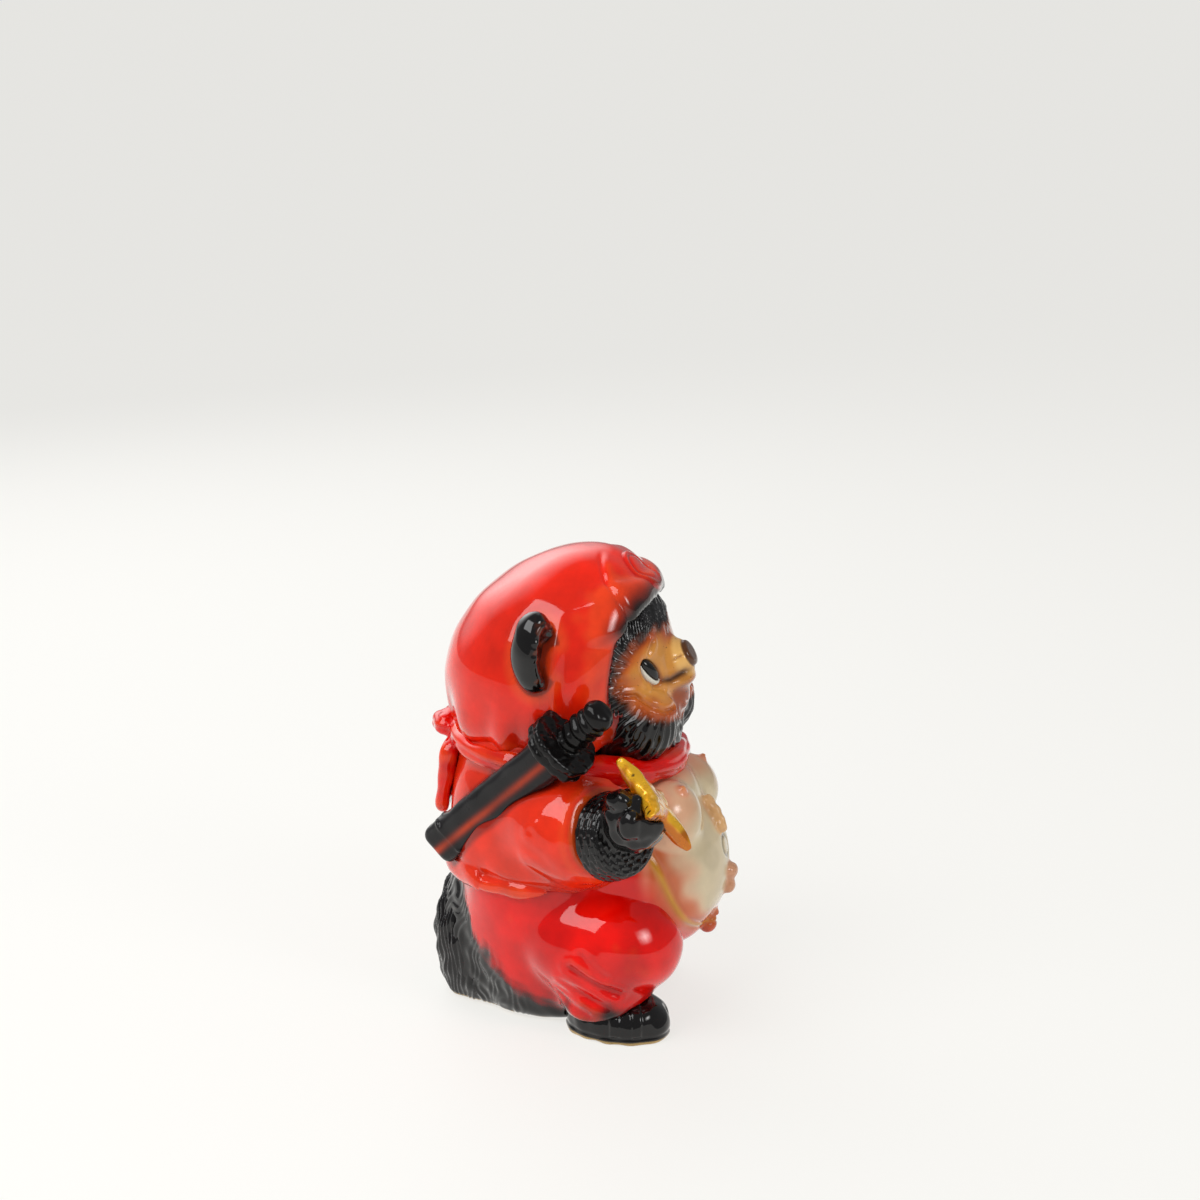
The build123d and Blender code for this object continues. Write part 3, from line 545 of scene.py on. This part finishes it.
def make_trousers(red):
    nodes = ["trousers_seat", "right_trouser_leg", "left_trouser_leg"]
    field = Field(VOXELS["trousers"], *nodes, "tail")
    solid = field.fused(nodes + ["base_slab"], 1.0)
    solid = np.minimum(solid, under_belly(field))
    solid = blurred(field.closed(solid), CASTING_BLUR)
    solid = joined(solid, field.node("tail", 2.0) + PLUG_GAP, SLIP_JOINT)
    skin = field.skin(solid)
    points = skin.points
    x, y, z = points.T
    for side in NAMES:
        back = STEP if side == LEFT else 0.0
        for start, end, depth in ANKLE_CREASES:
            away = line_distance(points, placed((start, end), side, back))
            skin.push(-depth * bell(away, CREASE_WIDTH))
            skin.push(0.5 * depth * bell(away - CREASE_LIP, CREASE_WIDTH))
    above_soot = z - soot_height(y) + 3 * wobble(points, 16, 4) + 1.5 * wobble(points, 6, 40)
    soot = within(-7, 7, above_soot)
    round_tail = TAIL_RADIUS * np.arctan2(x, y - TAIL_Y + TAIL_RADIUS)
    combed = np.sin((round_tail + 0.25 * z + 2 * wobble(points, 14, 3)) * (2 * np.pi / COMB_PITCH))
    skin.push(0.25 * soot * ramp(8, 22, y) * combed)
    skin.push(0.3 * soot * wobble(points, 12, 41))
    skin.push(0.35 * wobble(points, 30, 2))
    red_coat(skin, field, solid, 3)
    skin.spray(BLACK, soot)
    bare_rim(skin)
    make_piece("trousers", skin, nodes, red)


def make_jacket(red):
    nodes = ["jacket", "right_sleeve", "left_sleeve", "waist_roll"]
    field = Field(VOXELS["jacket"], *nodes)
    solid = np.minimum(field.node("jacket"), under_belly(field))
    for plug in ("neck_scarf", "hood", "trousers_seat"):
        solid = np.minimum(solid, field.node(plug) + PLUG_GAP)
    solid = blurred(field.closed(solid), CASTING_BLUR)
    for side in NAMES.values():
        solid = joined(solid, field.node(side + "_sleeve", 3.0), SLIP_JOINT)
    roll = field.node("waist_roll", 1.0) + ROLL_FADE * ramp(20, -25, field.along(1))
    groove_floor = joined(solid, roll, GROOVE_JOINT) + ROLL_GROOVE
    groove_floor = groove_floor + GROOVE_SINK * ramp(38, 28, field.along(1))
    solid = np.minimum(joined(solid, roll, ROLL_JOINT), groove_floor)
    skin = field.skin(solid)
    points = skin.points
    y, z = points[:, 1], points[:, 2]
    for side in NAMES:
        back = LEFT_ARM_BACK if side == LEFT else 0.0
        for path in SLEEVE_CREASES:
            away = line_distance(points, placed(path, side, back))
            skin.push(-1.0 * bell(away, CREASE_WIDTH) + 0.6 * bell(away - CREASE_LIP, 2.5))
    skin.push(0.5 * np.sin(y * 0.22 + 2 * wobble(points, 40, 50)) * ramp(104, 90, z))
    skin.push(0.4 * wobble(points, 26, 5))
    red_coat(skin, field, solid, 6)
    for side in NAMES.values():
        away = field.at(field.node(side + "_forearm"), points)
        skin.spray(RUST, 0.75 * within(1.0, 2.6, away))
        skin.spray(ORANGE_RED, 0.5 * bell(away - 5, 3))
    near_sword = field.at(field.node("scabbard"), points)
    skin.spray(BLACK, 0.6 * within(0.5, 4.0, near_sword))
    make_piece("jacket", skin, nodes, red)


def make_scarf(red):
    nodes = ["neck_scarf", "scarf_knot", "right_scarf_end", "left_scarf_end"]
    field = Field(VOXELS["scarf"], *nodes)
    solid = field.fused(nodes, 2.0, 1.8) - SCARF_SWELL
    skin = field.skin(solid)
    points = skin.points
    x, y, z = points.T
    turn = np.arctan2(x, y)
    height = z - NECK_Z - SCARF_SLOPE * y
    sway = 1.2 * np.sin(3 * turn + 0.7) + 0.8 * np.sin(7 * turn)
    for level in SCARF_LEVELS:
        skin.push(-0.6 * bell(height - level - sway, 1.5))
    skin.push(0.5 * wobble(points, 16, 7))
    red_coat(skin, field, solid, 8)
    make_piece("scarf", skin, nodes, red)


def make_hood(red):
    nodes = ["hood", "hood_medallion"]
    field = Field(VOXELS["hood"], "hood", "face", "hood_medallion")
    face = field.node("face", 0.9, WIDE_BAND)
    solid = np.minimum(field.node("hood"), field.node("jacket") + PLUG_GAP)
    solid = np.minimum(solid, face + PLUG_GAP)
    solid = blurred(field.closed(solid), CROWN_BLUR) - CROWN_FILL
    solid = np.maximum(solid, -face)
    solid = joined(solid, face + PLUG_GAP, 0.5)
    solid = joined(solid, field.node("hood_medallion", 0.9), 0.8)
    skin = field.skin(solid)
    points = skin.points
    x, y, z = points.T
    up = z - NECK_Z
    edge = field.at(face, points)
    shown = ramp(0.2, 1.2, edge)
    skin.push(shown * 2.4 * bell(edge - 3.5, 4.0))
    brim = ramp(62, 70, up)
    skin.push(shown * brim * 4.0 * bell(edge - 1.5, 4.5))
    for side in NAMES:
        near = ramp(6, 18, x * side)
        seam = y - CAP_SEAM_Y + CAP_SEAM_SLOPE * (CAP_SEAM_UP - up)
        cap = near * ramp(66, 74, up) * ramp(112, 96, up)
        swell = ramp(1.0, -1.0, seam) * bell(np.minimum(seam, 0), 14)
        skin.push(cap * (1.6 * swell - 1.2 * bell(seam, 1.4)))
        fold = near * ramp(2, 22, up) * ramp(84, 60, up)
        drift = edge + 1.5 * np.sin(up * 0.09 + 1.0)
        skin.push(fold * sum(height * bell(drift - away, width) for away, height, width in HOOD_FOLDS))
    off_axis = np.linalg.norm(np.cross(points - MEDALLION, MEDALLION_WAY), axis=1)
    boss = ramp(0, -10, y) * ramp(70, 78, up)
    skin.push(boss * (1.2 * ramp(11.8, 10.4, off_axis) - 0.8 * bell(off_axis - MEDALLION_RING, 0.9)))
    turn = np.arctan2(x, y - GATHER_AXIS_Y)
    gather = ramp(46, 12, up) * ramp(-6, 20, y)
    skin.push(1.3 * gather * np.sin(turn * GATHERS + up * 0.06 + 1.6 * np.sin(turn * 4)))
    skin.push(0.35 * wobble(points, 34, 9))
    red_coat(skin, field, solid, 10)
    for side in NAMES.values():
        halo = field.at(field.node(side + "_ear"), points)
        skin.spray(ORANGE_RED, 0.7 * within(1, 9, halo))
        skin.spray(BLACK, 0.7 * within(0.2, 1.6, halo))
    skin.spray(ORANGE_RED, 0.5 * ramp(30, 6, up) * ramp(0, 1, wobble(points, 22, 11)))
    skin.spray(BLACK, brim * within(1.0, 5.5, edge + 0.3 * wobble(points, 14, 12)))
    skin.spray(BLACK, 0.8 * within(0.6, 1.8, edge))
    lines = bell(off_axis - MEDALLION_RING, 1.0) + bell(off_axis - MEDALLION_EDGE, 0.8)
    skin.spray(DEEP_RED, 0.8 * boss * lines)
    make_piece("hood", skin, nodes, red)


# Head

def make_face(fur):
    nodes = ["face", "chin", "snout", "nose_pad"]
    field = Field(VOXELS["face"], *nodes)
    solid = joined(field.node("face", 1.2), field.node("chin", 1.2), 4.0)
    solid = joined(solid, field.node("snout", 0.6), 8.0)
    solid = joined(solid, field.lump(LIP_MIDDLE, LIP_RADII), 4.0)
    pad = field.node("nose_pad", 0.6)
    solid = joined(solid, pad, 0.8)
    skin = field.skin(solid)
    points = skin.points
    x, y, z = points.T
    up = z - NECK_Z
    side_x = np.abs(x)
    round_face = np.arctan2(side_x, FACE_AXIS_Y - y) * FACE_ROUND
    tan_patch = np.hypot((round_face - TAN_MIDDLE[0]) / TAN_RADII[0], (up - TAN_MIDDLE[1]) / TAN_RADII[1])
    fur_share = ramp(0.85, 1.1, tan_patch + 0.04 * wobble(points, 7, 20))
    angle = np.arctan2(up - EYE_UP, round_face - EYE_ROUND)
    comb = np.sin(angle * FUR_STROKES + 1.2 * wobble(points, 12, 21))
    hair = np.sin((round_face + 0.3 * wobble(points, 16, 22)) * (2 * np.pi / HAIR_PITCH))
    brow = ramp(16, 24, up - EYE_UP)
    groove = comb * (1 - brow) + hair * brow
    skin.push(fur_share * (0.42 * (1 - brow) + 0.3 * brow) * groove)
    skin.push(fur_share * 0.25 * wobble(points, 7, 23))
    for side in NAMES:
        bump = np.linalg.norm(points - placed([BROW_BUMP], side, 0.0)[0], axis=1)
        skin.push(2.2 * bell(bump, 7))
    spread_out = np.stack([round_face, up], axis=1)
    for crease, depth in FACE_CREASES:
        away = line_distance(spread_out, crease)
        skin.push(depth * (0.6 * bell(away - 2.6, 1.6) - bell(away, 1.0)))
    lips = line_distance(np.stack([side_x, y, z], axis=1), MOUTH_LINE)
    skin.push(-1.6 * bell(lips, 1.4))
    muzzle = (points - SNOUT_TIP) @ SNOUT_WAY
    off_muzzle = np.linalg.norm(points - SNOUT_TIP - muzzle[:, None] * SNOUT_WAY, axis=1)
    on_snout = within(10, 13, off_muzzle)
    level = (points - SNOUT_TIP) @ np.cross(SNOUT_WAY, (-1, 0, 0))
    wing = bell(level + 1.5 - 0.1 * muzzle, 0.7) * ramp(3, 5, side_x)
    wing = wing * ramp(-10, -6, muzzle) * ramp(0.5, -1.0, muzzle)
    skin.push(-0.7 * on_snout * wing)
    skin.spray(BLACK)
    skin.spray(RUST, within(0.8, 1.16, tan_patch + 0.05 * wobble(points, 8, 24)))
    skin.spray(TAN, within(0.5, 0.98, tan_patch + 0.06 * wobble(points, 10, 25)))
    skin.spray(RUST, 0.65 * ramp(34, 22, up) * within(0.9, 1.1, tan_patch))
    skin.spray(PALE_TAN, 0.85 * on_snout * ramp(-14, -7, muzzle))
    # Brown chin, darkened further by painted shade under the snout.
    chin = np.linalg.norm((points - CHIN_MIDDLE) / CHIN_RADII, axis=1)
    skin.spray(RUST * 0.6, 0.9 * within(0.8, 1.1, chin))
    # Painted shade along the mouth's crease under the snout.
    skin.spray(RUST * 0.3, 0.8 * bell(lips, 2.6))
    skin.spray(BLACK, bell(lips, 1.3))
    # Painted shade in the groove along each side of the snout.
    skin.spray(RUST * 0.5, 0.6 * on_snout * wing)
    skin.spray(RUST * 0.12, 0.95 * within(0.2, 0.9, field.at(pad, points)))
    for side in NAMES.values():
        skin.spray(RUST * 0.6, 0.6 * within(0.4, 2.6, field.at(field.node(side + "_eye"), points)))
        skin.spray(BLACK, 0.9 * within(0.2, 1.0, field.at(field.node(side + "_pupil"), points)))
    make_piece("face", skin, nodes, fur)


def make_eye(side, white, dark):
    looks = (("eye", white, WHITE, "white_glaze"), ("pupil", dark, BLACK, "nose_glaze"))
    for part, material, colour, slot in looks:
        name = f"{NAMES[side]}_{part}"
        field = Field(VOXELS["eye"], name)
        skin = field.skin(field.node(name, 0.35))
        skin.spray(colour)
        make_piece(name + "_glazed", skin, [name], material)


def make_ear(side, black):
    name = NAMES[side] + "_ear"
    field = Field(VOXELS["ear"], name)
    skin = field.skin(field.node(name, 1.8) - 0.4)
    inside = ramp(0.1, 0.6, -skin.normals()[:, 1])
    skin.push(inside * 0.3 * wobble(skin.points, 8, 30 + side))
    skin.push(inside * 0.15 * np.sin(skin.points[:, 2] * 1.4 + 2 * wobble(skin.points, 9, 33)))
    skin.push(0.25 * wobble(skin.points, 14, 34))
    skin.spray(BLACK)
    skin.spray(RUST * 0.35, 0.5 * inside * ramp(0.2, 1.2, wobble(skin.points, 5, 35)))
    make_piece(name + "_glazed", skin, [name], black)


# Belly

def make_belly(cream):
    nodes = ["belly", "right_breast", "left_breast", "nipples", "chest_tuft", "navel", "belly_knobs"]
    field = Field(VOXELS["belly"], *nodes)
    solid = field.node("belly")
    solid = blurred(field.backed(solid), CASTING_BLUR)
    for name in nodes[1:3]:
        solid = joined(solid, field.node(name, 1.8), 5.0)
    buds = {name: field.node(name, 0.9) for name in nodes[3:]}
    for bud in buds.values():
        solid = joined(solid, bud, 2.4)
    skin = field.skin(solid)
    points = skin.points
    x, y, z = points.T
    rim = ((np.abs(x) / PANEL_HALF_WIDTH) ** PANEL_POWER
           + (np.abs(z - PANEL_Z) / PANEL_HALF_HEIGHT) ** PANEL_POWER) ** (1 / PANEL_POWER)
    across = (rim - 1) * PANEL_HALF_WIDTH
    off_breasts = np.minimum(*(field.at(field.node(name), points) for name in nodes[1:3]))
    front = ramp(-50, -54, y) * ramp(0.5, 3.0, off_breasts)
    lines = sum(depth * bell(across - place, PANEL_LINE_WIDTH) for place, depth in PANEL_LINES)
    skin.push(-front * lines)
    emblem = np.hypot(x, z - RING_Z)
    ring = front * bell(emblem - RING_RADIUS, 0.9)
    skin.push(-0.9 * ring)
    tuft = within(0.5, 1.8, field.at(buds["chest_tuft"], points))
    skin.push(tuft * 0.5 * wobble(points, 6, 60))
    skin.push(0.3 * wobble(points, 26, 61))
    skin.spray(CREAM)
    skin.spray(OLIVE, 0.22 * ramp(0.1, 1.4, wobble(points, 26, 62)))
    blush = 0.9 - 0.4 * ramp(3.0, 0.5, off_breasts)
    skin.spray(BLUSH, blush * ramp(-15, 0, across + 3 * wobble(points, 20, 63)))
    ridge = field.at(blurred(solid, RIDGE_BLUR), points)
    # Painted shade: creases, such as those under the breasts, sprayed darker.
    skin.spray(BLUSH * 0.7, 0.7 * ramp(-0.15, -1.0, ridge))
    skin.spray(ORANGE, 0.8 * front * ramp(-7, 0, across + 2 * wobble(points, 14, 64)))
    skin.spray(RED, ramp(1.5, 9, across))
    skin.spray(RED, ramp(-50, -44, y))
    skin.spray(GOLD * 0.7, front * 0.7 * bell(across - 1.3, 1.1))
    tints = {"nipples": (BLUSH, 0.6), "chest_tuft": (TAN, 0.6),
             "navel": (ORANGE, 0.55), "belly_knobs": (RUST, 0.65)}
    for name, (colour, share) in tints.items():
        skin.spray(colour, share * within(0.3, 2.8, field.at(buds[name], points)))
    skin.spray(BLACK, 0.7 * ring)
    make_piece("belly", skin, nodes, cream)


# Arms

def make_arm(side, black):
    """Sleeve lining of short plaited dashes round a bare lumpy fist."""
    nodes = [NAMES[side] + "_forearm", NAMES[side] + "_paw"]
    field = Field(VOXELS["arm"], *nodes)
    paw = field.node(nodes[1], 0.6)
    solid = joined(field.node(nodes[0], 1.1), paw, 2.5)
    skin = field.skin(solid)
    points = skin.points
    mouth, way = FOREARMS[side]
    along = (points - mouth) @ way
    off = points - mouth - along[:, None] * way
    level = np.cross(way, (0, 0, 1))
    level = level / np.linalg.norm(level)
    turn = np.arctan2(off[:, 2], off @ level)
    rows = (along + FOREARM_RADIUS - np.linalg.norm(off, axis=1)) / DASH_ROW + 0.12 * wobble(points, 14, 70)
    dash = np.sin(turn * DASHES + np.pi * np.floor(rows))
    lining = ramp(0.8, 2.4, field.at(paw, points))
    skin.push(-0.85 * lining * bell(rows % 1 - 0.5, 0.24) * ramp(-0.75, -0.1, dash))
    skin.push((1 - lining) * (0.45 * wobble(points, 9, 71) - 0.4 * ramp(1.2, 1.9, wobble(points, 6, 72))))
    skin.spray(BLACK)
    by_star = within(0.4, 1.6, field.at(field.node("throwing_star"), points))
    skin.spray(GOLD, ramp(1.0, 1.4, wobble(points, 7, 73)) * by_star)
    make_piece(NAMES[side] + "_arm", skin, nodes, black)


def make_star(gold):
    field = Field(VOXELS["star"], "throwing_star")
    skin = field.skin(field.node("throwing_star", 0.5))
    normals = skin.normals()
    skin.push(0.18 * wobble(skin.points, 9, 80))
    skin.spray(AMBER)
    # Painted light and shade: faces turned up are sprayed lighter gold, faces turned down darker amber.
    skin.spray(GOLD, ramp(-0.1, 0.55, normals[:, 2] + 0.25 * wobble(skin.points, 9, 81)))
    skin.spray(BLACK, 0.85 * ramp(1.5, 1.75, wobble(skin.points, 6, 82)))
    make_piece("star", skin, ["throwing_star"], gold)


# Sword

def make_sword(dull):
    nodes = ["scabbard", "scabbard_band", "sword_guard", "sword_hilt", "hilt_cap"]
    field = Field(VOXELS["sword"], *nodes)
    guard = field.node("sword_guard", 0.7)
    hilt = joined(field.node("sword_hilt", 0.7), field.node("hilt_cap", 0.7), 1.5)
    solid = joined(field.node("scabbard", 0.7), field.node("scabbard_band", 0.7), 0.8)
    solid = joined(joined(solid, guard, 1.2), hilt, 1.2)
    skin = field.skin(solid)
    points = skin.points
    along = (points - SWORD_GUARD) @ SWORD_WAY
    across = (points - SWORD_GUARD) @ SWORD_ACROSS
    deep = (points - SWORD_GUARD) @ np.cross(SWORD_WAY, SWORD_ACROSS)
    on_guard = within(0.4, 1.6, field.at(guard, points))
    skin.push(on_guard * (0.35 * wobble(points, 8, 90) + 0.12 * wobble(points, 3.5, 91)))
    skin.push(-on_guard * 0.9 * bell(along - GUARD_LINE, 1.0))
    on_hilt = within(0.4, 1.4, field.at(hilt, points))
    turn = np.arctan2(deep, across)
    wrap = np.cos(2 * turn + along * 0.55) * np.cos(2 * turn - along * 0.55)
    skin.push(on_hilt * ramp(34, 30, along) * 0.6 * wrap)
    skin.push(on_hilt * 0.2 * wobble(points, 7, 92))
    skin.push(0.25 * wobble(points, 18, 93))
    skin.spray(SCABBARD)
    skin.spray(BLACK, np.maximum(on_guard, on_hilt))
    stripe = bell(across - STRIPE, 1.9) * ramp(-2, -8, along) * (0.75 + 0.25 * wobble(points, 18, 94))
    skin.spray(ORANGE_RED * 0.8, 0.8 * stripe)
    make_piece("sword", skin, nodes, dull)


# Tail and feet

def make_tail(black):
    field = Field(VOXELS["tail"], "tail")
    skin = field.skin(field.node("tail", 2.4))
    points = skin.points
    x, y, z = points.T
    turn = np.arctan2(x, y - TAIL_Y) * TAIL_RADIUS
    lock = np.sin((turn + 4 * np.sin(z * 0.06) + 2.2 * wobble(points, 22, 100)) * (2 * np.pi / LOCK_PITCH))
    skin.push(0.5 * lock + 0.7 * wobble(points, 16, 101))
    skin.spray(BLACK)
    skin.spray(SCABBARD, 0.5 * ramp(0.2, 1.0, lock))
    bare_rim(skin)
    make_piece("brush_tail", skin, ["tail"], black)


def make_foot(side, black):
    name = NAMES[side] + "_foot"
    field = Field(VOXELS["foot"], name)
    skin = field.skin(field.node(name, 0.7))
    points = skin.points
    x, y, z = points.T
    low, high = np.array(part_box(name)) / MM
    ahead = high[1] - y
    upper = ramp(4.0, 6.0, z)
    bowed = 0.35 * np.abs(x - (low[0] + high[0]) / 2)
    for strap in STRAPS:
        skin.push(upper * 0.9 * ramp(3.2, 2.2, np.abs(ahead - strap - bowed)))
    skin.push(-0.6 * bell(z - SOLE_Z, 0.8))
    skin.push(0.3 * wobble(points, 12, 110))
    skin.spray(BLACK)
    bare_rim(skin)
    make_piece(name + "_glazed", skin, [name], black)


# Studio

PAPER = srgb(251, 250, 246)
BACKDROP_SHARE = 0.75     # how far the seen floor keeps the paper's own tone, whatever light falls on it
AIM = Vector((0.0, 0.0, 0.125))
CAMERA_AZIMUTH = -76.5    # from straight ahead of the figure round to its right side
CAMERA_HEIGHT = 18.5      # degrees above the table
CAMERA_DISTANCE = 1.34
LENS = 50.0
SENSOR = 24.0
FRAME_PIXELS = 1200
AIM_PIXEL = (572.0, 773.8)
FLOOR_HALF = 40.0         # metres
WORLD_COLOUR = (0.97, 0.98, 1.0, 1.0)
WORLD_STRENGTH = 0.28
FADE_PEAK = 16.0          # makes a faded panel give as much light as an even one


def make_camera():
    camera = bpy.data.objects.new("Camera", bpy.data.cameras.new("Camera"))
    camera.data.lens = LENS
    camera.data.sensor_width = SENSOR
    camera.data.sensor_height = SENSOR
    turn = radians(CAMERA_AZIMUTH)
    rise = radians(CAMERA_HEIGHT)
    away = Vector((sin(turn) * cos(rise), -cos(turn) * cos(rise), sin(rise)))
    pixels = LENS / SENSOR * FRAME_PIXELS
    pitch = atan((AIM_PIXEL[1] - FRAME_PIXELS / 2) / pixels)
    yaw = atan((AIM_PIXEL[0] - FRAME_PIXELS / 2) / pixels)
    look = (-away).to_track_quat("-Z", "Y").to_matrix().to_4x4()
    aim = look @ Matrix.Rotation(pitch, 4, "X") @ Matrix.Rotation(yaw, 4, "Y")
    camera.matrix_world = Matrix.Translation(AIM + away * CAMERA_DISTANCE) @ aim
    bpy.context.collection.objects.link(camera)
    bpy.context.scene.camera = camera


def make_floor():
    """Pale paper the figure stands on, wide enough to fill the view."""
    mesh = bpy.data.meshes.new("floor")
    signs = ((-1, -1), (1, -1), (1, 1), (-1, 1))
    mesh.from_pydata([(x * FLOOR_HALF, y * FLOOR_HALF, 0) for x, y in signs], [], [(0, 1, 2, 3)])
    shader = Shader("paper")
    shader.set(Base_Color=(*PAPER, 1.0), Roughness=0.5)
    rays = shader.add("ShaderNodeLightPath")
    seen = shader.sum(rays.outputs["Is Camera Ray"], rays.outputs["Is Glossy Ray"])
    seen = shader.sum(seen, rays.outputs["Is Transmission Ray"])
    glow = shader.add("ShaderNodeEmission", {"Color": (*PAPER, 1.0), "Strength": 1.0})
    share = shader.spread(seen, 0.0, 1.0, 0.0, BACKDROP_SHARE)
    mix = {0: share, 1: shader.surface.outputs["BSDF"], 2: glow.outputs["Emission"]}
    both = shader.add("ShaderNodeMixShader", mix)
    shader.tree.links.new(both.outputs["Shader"], shader.tree.nodes["Material Output"].inputs["Surface"])
    mesh.materials.append(shader.material)
    floor = bpy.data.objects.new("floor", mesh)
    bpy.context.collection.objects.link(floor)


def fade_edges(light):
    """Light that is brightest in the middle of its panel and dies away to the edges."""
    light.use_nodes = True
    tree = light.node_tree

    def worked_out(operation, first, second):
        node = tree.nodes.new("ShaderNodeMath")
        node.operation = operation
        feed(tree, node.inputs[0], first)
        feed(tree, node.inputs[1], second)
        return node.outputs["Value"]

    parts = tree.nodes.new("ShaderNodeSeparateXYZ")
    tree.links.new(tree.nodes.new("ShaderNodeNewGeometry").outputs["Parametric"], parts.inputs["Vector"])
    across = worked_out("PINGPONG", parts.outputs["X"], 0.5)
    along = worked_out("PINGPONG", parts.outputs["Y"], 0.5)
    shade = worked_out("MULTIPLY", worked_out("MULTIPLY", across, along), FADE_PEAK)
    tree.links.new(shade, tree.nodes["Emission"].inputs["Strength"])


def make_softbox(name, place, size, power, faded=False):
    light = bpy.data.lights.new(name, "AREA")
    light.shape = "RECTANGLE"
    light.size, light.size_y = size
    light.energy = power
    if faded:
        fade_edges(light)
    lamp = bpy.data.objects.new(name, light)
    lamp.location = place
    lamp.rotation_euler = (AIM - Vector(place)).to_track_quat("-Z", "Y").to_euler()
    bpy.context.collection.objects.link(lamp)


def make_studio():
    make_camera()
    make_floor()
    world = bpy.data.worlds.new("studio")
    world.use_nodes = True
    backdrop = world.node_tree.nodes["Background"]
    backdrop.inputs["Color"].default_value = WORLD_COLOUR
    backdrop.inputs["Strength"].default_value = WORLD_STRENGTH
    bpy.context.scene.world = world
    bpy.context.scene.view_settings.view_transform = "Standard"
    make_softbox("top_box", place=(-0.8, 0.52, 1.22), size=(1.1, 0.85), power=13.0)
    make_softbox("front_box", place=(-0.7, -1.3, 0.9), size=(0.8, 0.8), power=7.0, faded=True)
    make_softbox("back_panel", place=(0.85, 0.8, 1.0), size=(2.2, 1.8), power=12.0, faded=True)


def main():
    red = glaze("red_glaze")
    black = glaze("black_glaze", gloss=0.12, uneven=0.3)
    fur = glaze("face_glaze", gloss=0.14, specks=0.04)
    cream = glaze("belly_glaze", gloss=0.14, uneven=0.1)
    gold = glaze("gold_lustre", gloss=0.16, specks=0.01, lustre=0.35)
    dull = glaze("scabbard_glaze", gloss=0.24, coat=0.5)
    white = glaze("white_glaze", gloss=0.1, uneven=0.05)
    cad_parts["base_slab"].data.materials.clear()
    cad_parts["base_slab"].data.materials.append(bare_clay("bare_clay"))
    make_trousers(red)
    make_jacket(red)
    make_scarf(red)
    make_hood(red)
    make_face(fur)
    make_belly(cream)
    make_star(gold)
    make_sword(dull)
    make_tail(black)
    for side in NAMES:
        make_eye(side, white, black)
        make_ear(side, black)
        make_arm(side, black)
        make_foot(side, black)
    make_studio()


main()
